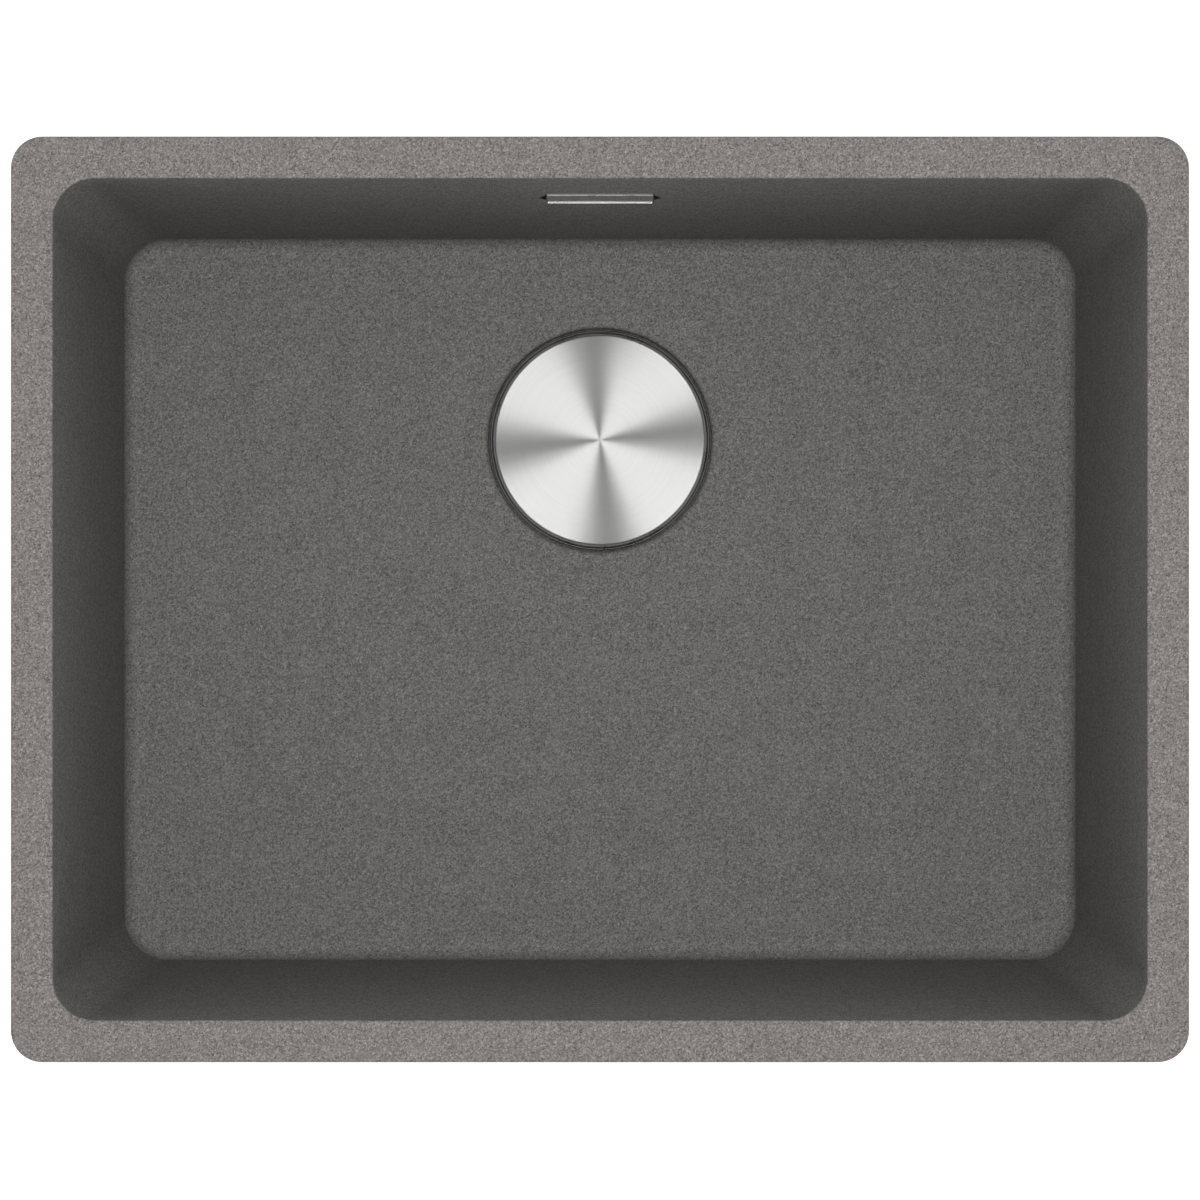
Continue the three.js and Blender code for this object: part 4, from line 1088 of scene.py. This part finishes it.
# ---------------------------------------------------------------- Carrier under the cover
# A black moulding bonded under the disc. Its six ribs stand on the cup's rim and leave a gap for
# the water all round, and its hub slips over the basket's knob.
carrier_high = -cover_thick - gap
carrier_low = carrier_high - 1.4
carrier_plate = cup_inner - 5
carrier_reach = cup_rim - 6.7
feet_low = cup_rim_high + gap
hub_bore = knob_radius + gap
hub_radius = hub_bore + 3.4
hub_low = knob_high - 5
rib_count = 6
rib_width = 3

carrier = rod("cover_carrier_moulding", carrier_plate, carrier_low, carrier_high, 0.3, 96)
hub = rod("hub", hub_radius, hub_low, carrier_low + 0.7, 0.4)
combine(carrier, hub, "UNION")
rib_high = carrier_high - 0.4
for index in range(rib_count // 2):
    rib_size = (2 * carrier_reach, rib_width, rib_high - feet_low)
    rib = block("rib", rib_size, (0, 0, (rib_high + feet_low) / 2), 0.4)
    put(rib, (0, 0, 0), 0, index * math.pi * 2 / rib_count)
    combine(carrier, rib, "UNION")
combine(carrier, rod("hub_bore", hub_bore, hub_low - 1, knob_high + gap, 0.3))
put(carrier, waste_at)
smooth(carrier)
carrier.data.materials.append(black_plastic)
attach(carrier, "cover")
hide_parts("cover_carrier")


# ---------------------------------------------------------------- Overflow's face plate
# A plate of polished steel in the shallow rebate of the rear wall. Its upper and lower edges are
# turned forward to two small lips, and two pegs hold it in the carrier.
plate_sheet = 0.8
plate_proud = 0.2
plate_bevel = 0.55
lip = 1
lip_reaches = [(1, 0.55, 12), (-1, 0.45, 0)]
lip_width = plate.x - 1.2
peg_radius = 1.5
peg_length = 2.4
peg_spacing = 12

face_plate = start_mesh("overflow_face_plate")
outlines = [(-0.2, plate_sheet - plate_proud), (0, plate_sheet - plate_proud - 0.2)]
outlines += arc((-plate_bevel, plate_bevel - plate_proud), plate_bevel, 0, -90, 5)
for grow, z in outlines:
    add_outline(plate.x + 2 * grow, plate.y + 2 * grow, plate_corner + grow, z, 8)
bridge_outlines(face_plate)
for side, reach, slope in lip_reaches:
    lip_depth = reach + plate_sheet - 0.3
    turned_edge = block("turned_edge", (lip_width, lip, lip_depth), (0, 0, 0), 0.2)
    lip_at = (0, side * ((plate.y - lip) / 2 - plate_bevel), lip_depth / 2 - reach - plate_proud)
    put(turned_edge, lip_at, math.radians(slope))
    combine(face_plate, turned_edge, "UNION")
for side in (-1, 1):
    peg = rod("peg", peg_radius, 0, plate_sheet - plate_proud + peg_length, 0.3, 24)
    put(peg, (side * peg_spacing / 2, 0, 0))
    combine(face_plate, peg, "UNION")
put(face_plate, overflow_at, into_wall)
smooth(face_plate)
face_plate.data.materials.append(polished)
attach(face_plate, "sink")
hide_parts("overflow_plate")


# ---------------------------------------------------------------- Overflow's carrier
# A black moulding behind the plate. Its flange lies in the rebate, its collar lines the slot, and
# its bridge fills the slot's middle, so that the water goes through the ends.
carrier_front = rebate_depth - gap - 1
flange_back = carrier_front + 1
bridge_back = rebate_depth - gap + 3.2
bridge_width = 46
bridge_height = slot.y - 1.6
collar_wall = 0.5
collar_front = 0.25
fixing_radius = 1.7
fixing_head = 3.2
fixing_head_thick = 1.6
fixing_spacing = 30

slot_carrier = start_mesh("overflow_carrier_moulding")
for grow, z in [(-0.3, carrier_front), (0, carrier_front + 0.3), (0, flange_back)]:
    inset = grow - plate_bevel
    add_outline(plate.x + 2 * inset, plate.y + 2 * inset, plate_corner + grow, z, 8)
bridge_outlines(slot_carrier)
bridge = start_mesh("bridge")
for grow, z in [(0, carrier_front + 0.5), (0, bridge_back - 0.5), (-0.5, bridge_back)]:
    add_outline(bridge_width + 2 * grow, bridge_height + 2 * grow, slot.y / 4 + grow, z, 8)
bridge_outlines(bridge)
collar = start_mesh("collar")
for z in (collar_front, bridge_back - 0.2):
    add_outline(slot.x - 2 * gap, slot.y - 2 * gap, slot.y / 2 * round_end - gap, z, 16)
bridge_outlines(collar)
collar_hollow = start_mesh("collar_hollow")
for z in (collar_front - 1, bridge_back + 1):
    inset = gap + collar_wall
    add_outline(slot.x - 2 * inset, slot.y - 2 * inset, slot.y / 2 * round_end - inset, z, 16)
bridge_outlines(collar_hollow)
combine(collar, collar_hollow)
room_for_plate = (plate.x + 2 * plate_gap, 2 * slot.y, 2 * carrier_front + 0.4)
combine(collar, block("room_for_plate", room_for_plate, (0, 0, 0)))
combine(slot_carrier, collar, "UNION")
combine(slot_carrier, bridge, "UNION")
for side in (-1, 1):
    for radius, spacing, back in [
        (peg_radius + gap, peg_spacing, bridge_back + 1),
        (fixing_radius + gap, fixing_spacing, bridge_back + 1),
        (fixing_head + gap, fixing_spacing, carrier_front + fixing_head_thick + gap),
    ]:
        hole = rod("hole", radius, carrier_front - 1, back, 0, 32)
        put(hole, (side * spacing / 2, 0, 0))
        combine(slot_carrier, hole)
put(slot_carrier, overflow_at, into_wall)
smooth(slot_carrier)
slot_carrier.data.materials.append(black_plastic)
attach(slot_carrier, "sink")
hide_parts("overflow_carrier")


# ---------------------------------------------------------------- Overflow's two screws
# Pan-head steel screws with a cross recess. They go through the carrier into the hood's bosses
# and pull the hood against the wall from behind.
boss_front = bridge_back + gap
fixing_bite = 9
fixing_thread = 0.3
fixing_pitch = 1.1
fixing_edge = 0.9
cross_width = 0.8
cross_depth = 2

fixing_root = fixing_radius - fixing_thread
fixing_end = boss_front + fixing_bite
head_back = carrier_front + fixing_head_thick
for side, name in [(-1, "left"), (1, "right")]:
    section = [(0, carrier_front + 0.1)]
    section += arc((fixing_head - fixing_edge, carrier_front + 1), fixing_edge, -90, 0, 5)
    section += [(fixing_head, head_back), (fixing_root, head_back)]
    section += [(fixing_root, fixing_end - fixing_radius), (0.2, fixing_end), (0, fixing_end)]
    fixing = turned("overflow_fixing_" + name, section, 48)
    span = (head_back + 2, boss_front + 6.5)
    ridge = thread("fixing_thread", fixing_root, fixing_thread, fixing_pitch, *span, 24)
    combine(fixing, ridge, "UNION")
    for size in [(fixing_head, cross_width, cross_depth), (cross_width, fixing_head, cross_depth)]:
        combine(fixing, block("cross", size, (0, 0, carrier_front)))
    put(fixing, (side * fixing_spacing / 2, 0, 0))
    put(fixing, overflow_at, into_wall)
    smooth(fixing)
    fixing.data.materials.append(polished)
    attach(fixing, "sink")
    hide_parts("overflow_screw_" + name)


# ---------------------------------------------------------------- Overflow's gasket
# A ring of black rubber with long straight sides, squeezed between the bowl's rear wall and the
# hood's flange.
wall_back = wall * math.cos(draft)
hood_gasket_front = wall_back + gap
hood_gasket_back = hood_gasket_front + 2
hood_clearance = 3
hood_lap = 8
hood_inner = slot + Vector((hood_clearance, hood_clearance))
hood_outer = hood_inner + Vector((hood_lap, hood_lap))


def long_ring(name, front, back, edge):
    """A ring with long straight sides round the slot, with its edges rounded."""
    piece = start_mesh(name)
    outside = [(-edge, front), (0, front + edge), (0, back - edge), (-edge, back)]
    inside = [(edge, back - hair), (0, back - edge), (0, front + edge), (edge, front + hair)]
    for around, outlines in [(hood_outer, outside), (hood_inner, inside)]:
        for grow, z in outlines:
            size = around + Vector((2 * grow, 2 * grow))
            add_outline(size.x, size.y, size.y / 2 * round_end, z, 16)
    bridge_outlines(piece, closed=True)
    return piece


hood_gasket = long_ring("overflow_gasket_ring", hood_gasket_front, hood_gasket_back, 0.5)
put(hood_gasket, overflow_at, into_wall)
smooth(hood_gasket)
hood_gasket.data.materials.append(rubber)
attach(hood_gasket, "sink")
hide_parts("overflow_gasket")


# ---------------------------------------------------------------- Overflow's hood
# A black moulding behind the rear wall: a flange, a chamber that slopes back to its deepest at
# the bottom, two bosses for the screws, and a spigot that points straight down for the hose.
hood_front = hood_gasket_back + gap
hood_flange = 3
hood_wall = 2
hood_top_depth = 12.4
hood_low_depth = 19.4
hood_knee = 1
hood_corner = 2
hood_boss = 4
spigot_from_wall = 12
wall_outside = opening.y / 2 + wall - overflow_depth * lean
spigot_at = wall_outside + spigot_from_wall
hood_spigot_high = -overflow_depth - slot.y / 2 + 1
hood_spigot_low = -overflow_depth - hood_outer.y / 2 - spigot_length


def chamber(name, grow, front, edge):
    """The hood's chamber as a solid, its walls moved out by grow, from a depth to its back."""
    piece = start_mesh(name)
    low = slot.y / 2 + grow
    deep = hood_front + hood_low_depth - hood_wall + grow
    knee_at = hood_front + hood_top_depth - hood_wall + grow
    slope = (low - hood_knee - grow / 2) / (deep - knee_at)
    back = [(deep - edge, 0), (deep - edge * 0.3, edge * 0.3), (deep, edge)]
    for z, inset in [(front, 0), (knee_at, 0), *back]:
        top = -low + max(0, z - knee_at) * slope
        across = slot.x + 2 * grow - 2 * inset
        add_outline(across, low - top - 2 * inset, hood_corner + grow, z, 6, (top + low) / 2)
    bridge_outlines(piece)
    return piece


hood = chamber("overflow_hood_moulding", hood_wall, hood_front + 1.5, 1.5)
combine(hood, long_ring("hood_flange", hood_front, hood_front + hood_flange, 0.4), "UNION")
put(hood, overflow_at, into_wall)
spigot = rod("hood_spigot", spigot_radius, hood_spigot_low, hood_spigot_high, 0.6)
put(spigot, (0, spigot_at, 0))
combine(hood, spigot, "UNION")
hollow = chamber("hood_hollow", 0, hood_front - 1, 0.8)
put(hollow, overflow_at, into_wall)
combine(hood, hollow)
for side in (-1, 1):
    boss = rod("boss", hood_boss, boss_front, hood_front + hood_low_depth - 1, 0.4)
    pilot = rod("pilot", fixing_radius + gap, boss_front - 1, boss_front + fixing_bite + 1, 0, 32)
    for piece, operation in [(boss, "UNION"), (pilot, "DIFFERENCE")]:
        put(piece, (side * fixing_spacing / 2, 0, 0))
        put(piece, overflow_at, into_wall)
        combine(hood, piece, operation)
spigot_hole = rod("hood_spigot_hole", spigot_bore, hood_spigot_low - 1, hood_spigot_high + 1)
put(spigot_hole, (0, spigot_at, 0))
combine(hood, spigot_hole)
smooth(hood)
hood.data.materials.append(black_plastic)
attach(hood, "sink")
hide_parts("overflow_hood")


# ---------------------------------------------------------------- Overflow's hose
# A ribbed hose of grey plastic with a plain cuff at each end, pushed over the hood's spigot and
# the waste body's inlet. It is made straight and then bent once, through a quarter turn.
cuff_length = 28
cuff_wall = 1.9
cuff_bore = spigot_radius + gap
cuff_radius = cuff_bore + cuff_wall
hose_valley = 9.4
hose_crest = 11
hose_wall = 0.9
rib_pitch = 5
steps_per_rib = 8
hose_bend = 50
quarter_circle = 0.5523
hose_tones = [(0.32, 0.33, 0.34), (0.38, 0.39, 0.40)]
inlet_at = inlet_level - bowl_depth
flange_fall = (hood_front + hood_flange) * math.sin(draft)
hose_top = -overflow_depth - hood_outer.y / 2 - flange_fall - 2 * gap
hose_end = drain_at.y + body_outer + 2 * gap
bend_start = hose_top - inlet_at - hose_bend
hose_length = bend_start + hose_bend * math.pi / 2 + spigot_at - hose_bend - hose_end

hose_plastic, tree, shader, spot = principled("hose_plastic", (0.35, 0.36, 0.37), 0.46)
vary(tree, shader, noise(tree, spot, 120, 4), hose_tones, (0.38, 0.54))
bump(tree, shader, noise(tree, spot, 1500, 2), 0.02 * MM, 0.4)

ribs = math.floor((hose_length - 2 * cuff_length) / rib_pitch)
pitch = (hose_length - 2 * cuff_length) / ribs
mid_radius = (hose_crest + hose_valley) / 2
swell = (hose_crest - hose_valley) / 2


def ribbed(inset):
    """The hose's ribbed stretch as (radius, length) points, from one cuff to the other."""
    points = []
    for step in range(ribs * steps_per_rib + 1):
        wave = -math.cos(step / steps_per_rib * math.tau)
        along = cuff_length + pitch * step / steps_per_rib
        points.append((mid_radius - inset + swell * wave, along))
    return points


section = [(cuff_bore, 0), (cuff_radius, 0), (cuff_radius, cuff_length - 2), *ribbed(0)]
section += [(cuff_radius, hose_length - cuff_length + 2), (cuff_radius, hose_length)]
section += [(cuff_bore, hose_length), (cuff_bore, hose_length - cuff_length + 3)]
section += [*reversed(ribbed(hose_wall)), (cuff_bore, cuff_length - 3), (cuff_bore, 0)]
hose = turned("ribbed_hose", section, 48)

bpy.ops.curve.primitive_bezier_curve_add(radius=MM)
route = bpy.context.object
route.data.dimensions = "3D"
route.data.resolution_u = 64
points = route.data.splines[0].bezier_points
points.add(2)
pull = quarter_circle * hose_bend
places = [
    ((spigot_at, hose_top), (0, 1), (0, -1), bend_start / 3),
    ((spigot_at, inlet_at + hose_bend), (0, 1), (0, -1), pull),
    ((spigot_at - hose_bend, inlet_at), (1, 0), (-1, 0), pull),
    ((hose_end, inlet_at), (1, 0), (-1, 0), (spigot_at - hose_bend - hose_end) / 3),
]
for point, (at, back, ahead, reach) in zip(points, places):
    point.handle_left_type = point.handle_right_type = "FREE"
    point.co = Vector((0, *at)) * MM
    point.handle_left = Vector((0, at[0] + back[0] * reach, at[1] + back[1] * reach)) * MM
    point.handle_right = Vector((0, at[0] + ahead[0] * reach, at[1] + ahead[1] * reach)) * MM
apply_modifier(hose, "CURVE", object=route, deform_axis="POS_Z")
bpy.data.objects.remove(route)
smooth(hose, 50)
hose.data.materials.append(hose_plastic)
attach(hose, "sink")
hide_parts("overflow_hose")


# ---------------------------------------------------------------- Hose clips
# Two worm-drive clips of steel band, one on each cuff. The band's slots run under a pressed
# housing, where the worm screw draws it tight.
clip_inner = cuff_radius + gap
clip_sheet = 0.9
clip_outer = clip_inner + clip_sheet
clip_width = 9
housing_out = 6
housing_length = 12
worm_radius = 2.6
housing_edge = 1.2
worm_reach = 9
worm_slot = (8, 0.8, 1.6)
band_edge = 0.3
band_slots = 28
band_slot_width = 0.9
band_slot_slant = 0.3


def worm_clip(name):
    """One clip round the upright axis, with its screw on the right."""
    half = clip_width / 2
    edge = band_edge
    section = [(clip_inner, -half), (clip_outer - edge, -half), (clip_outer, edge - half)]
    section += [(clip_outer, half - edge), (clip_outer - edge, half), (clip_inner, half)]
    clip = turned(name, section + section[:1], 96)
    slot_size = (3, band_slot_width, clip_width * 0.55)
    slots = block("band_slots", slot_size, (clip_inner + 1.8, 0, 0))
    bpy.ops.object.mode_set(mode="EDIT")
    bpy.ops.mesh.select_all(action="SELECT")
    bpy.ops.transform.rotate(
        value=band_slot_slant, orient_axis="X", center_override=(0, 0, 0)
    )
    bpy.ops.transform.rotate(
        value=math.pi / band_slots, orient_axis="Z", center_override=(0, 0, 0)
    )
    repeat_round(band_slots)
    bpy.ops.object.mode_set(mode="OBJECT")
    combine(clip, slots)
    middle = clip_outer + (housing_out - clip_sheet) / 2
    housing_size = (housing_out, housing_length, clip_width)
    housing = block("housing", housing_size, (middle, 0, 0), housing_edge)
    combine(clip, housing, "UNION")
    worm = rod("worm", worm_radius, 1 - housing_length / 2, worm_reach, 0.4, 6)
    combine(worm, block("worm_slot", worm_slot, (0, 0, worm_reach)))
    put(worm, (middle, 0, 0), math.pi / 2)
    combine(clip, worm, "UNION")
    return clip


for name, at, tilt in [
    ("upper", (0, spigot_at, hose_top - cuff_length / 2), 0),
    ("lower", (0, hose_end + cuff_length / 2, inlet_at), -math.pi / 2),
]:
    clip = worm_clip("worm_clip_" + name)
    put(clip, at, tilt)
    smooth(clip)
    clip.data.materials.append(pressed)
    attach(clip, "sink")
    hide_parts("hose_clip_" + name)
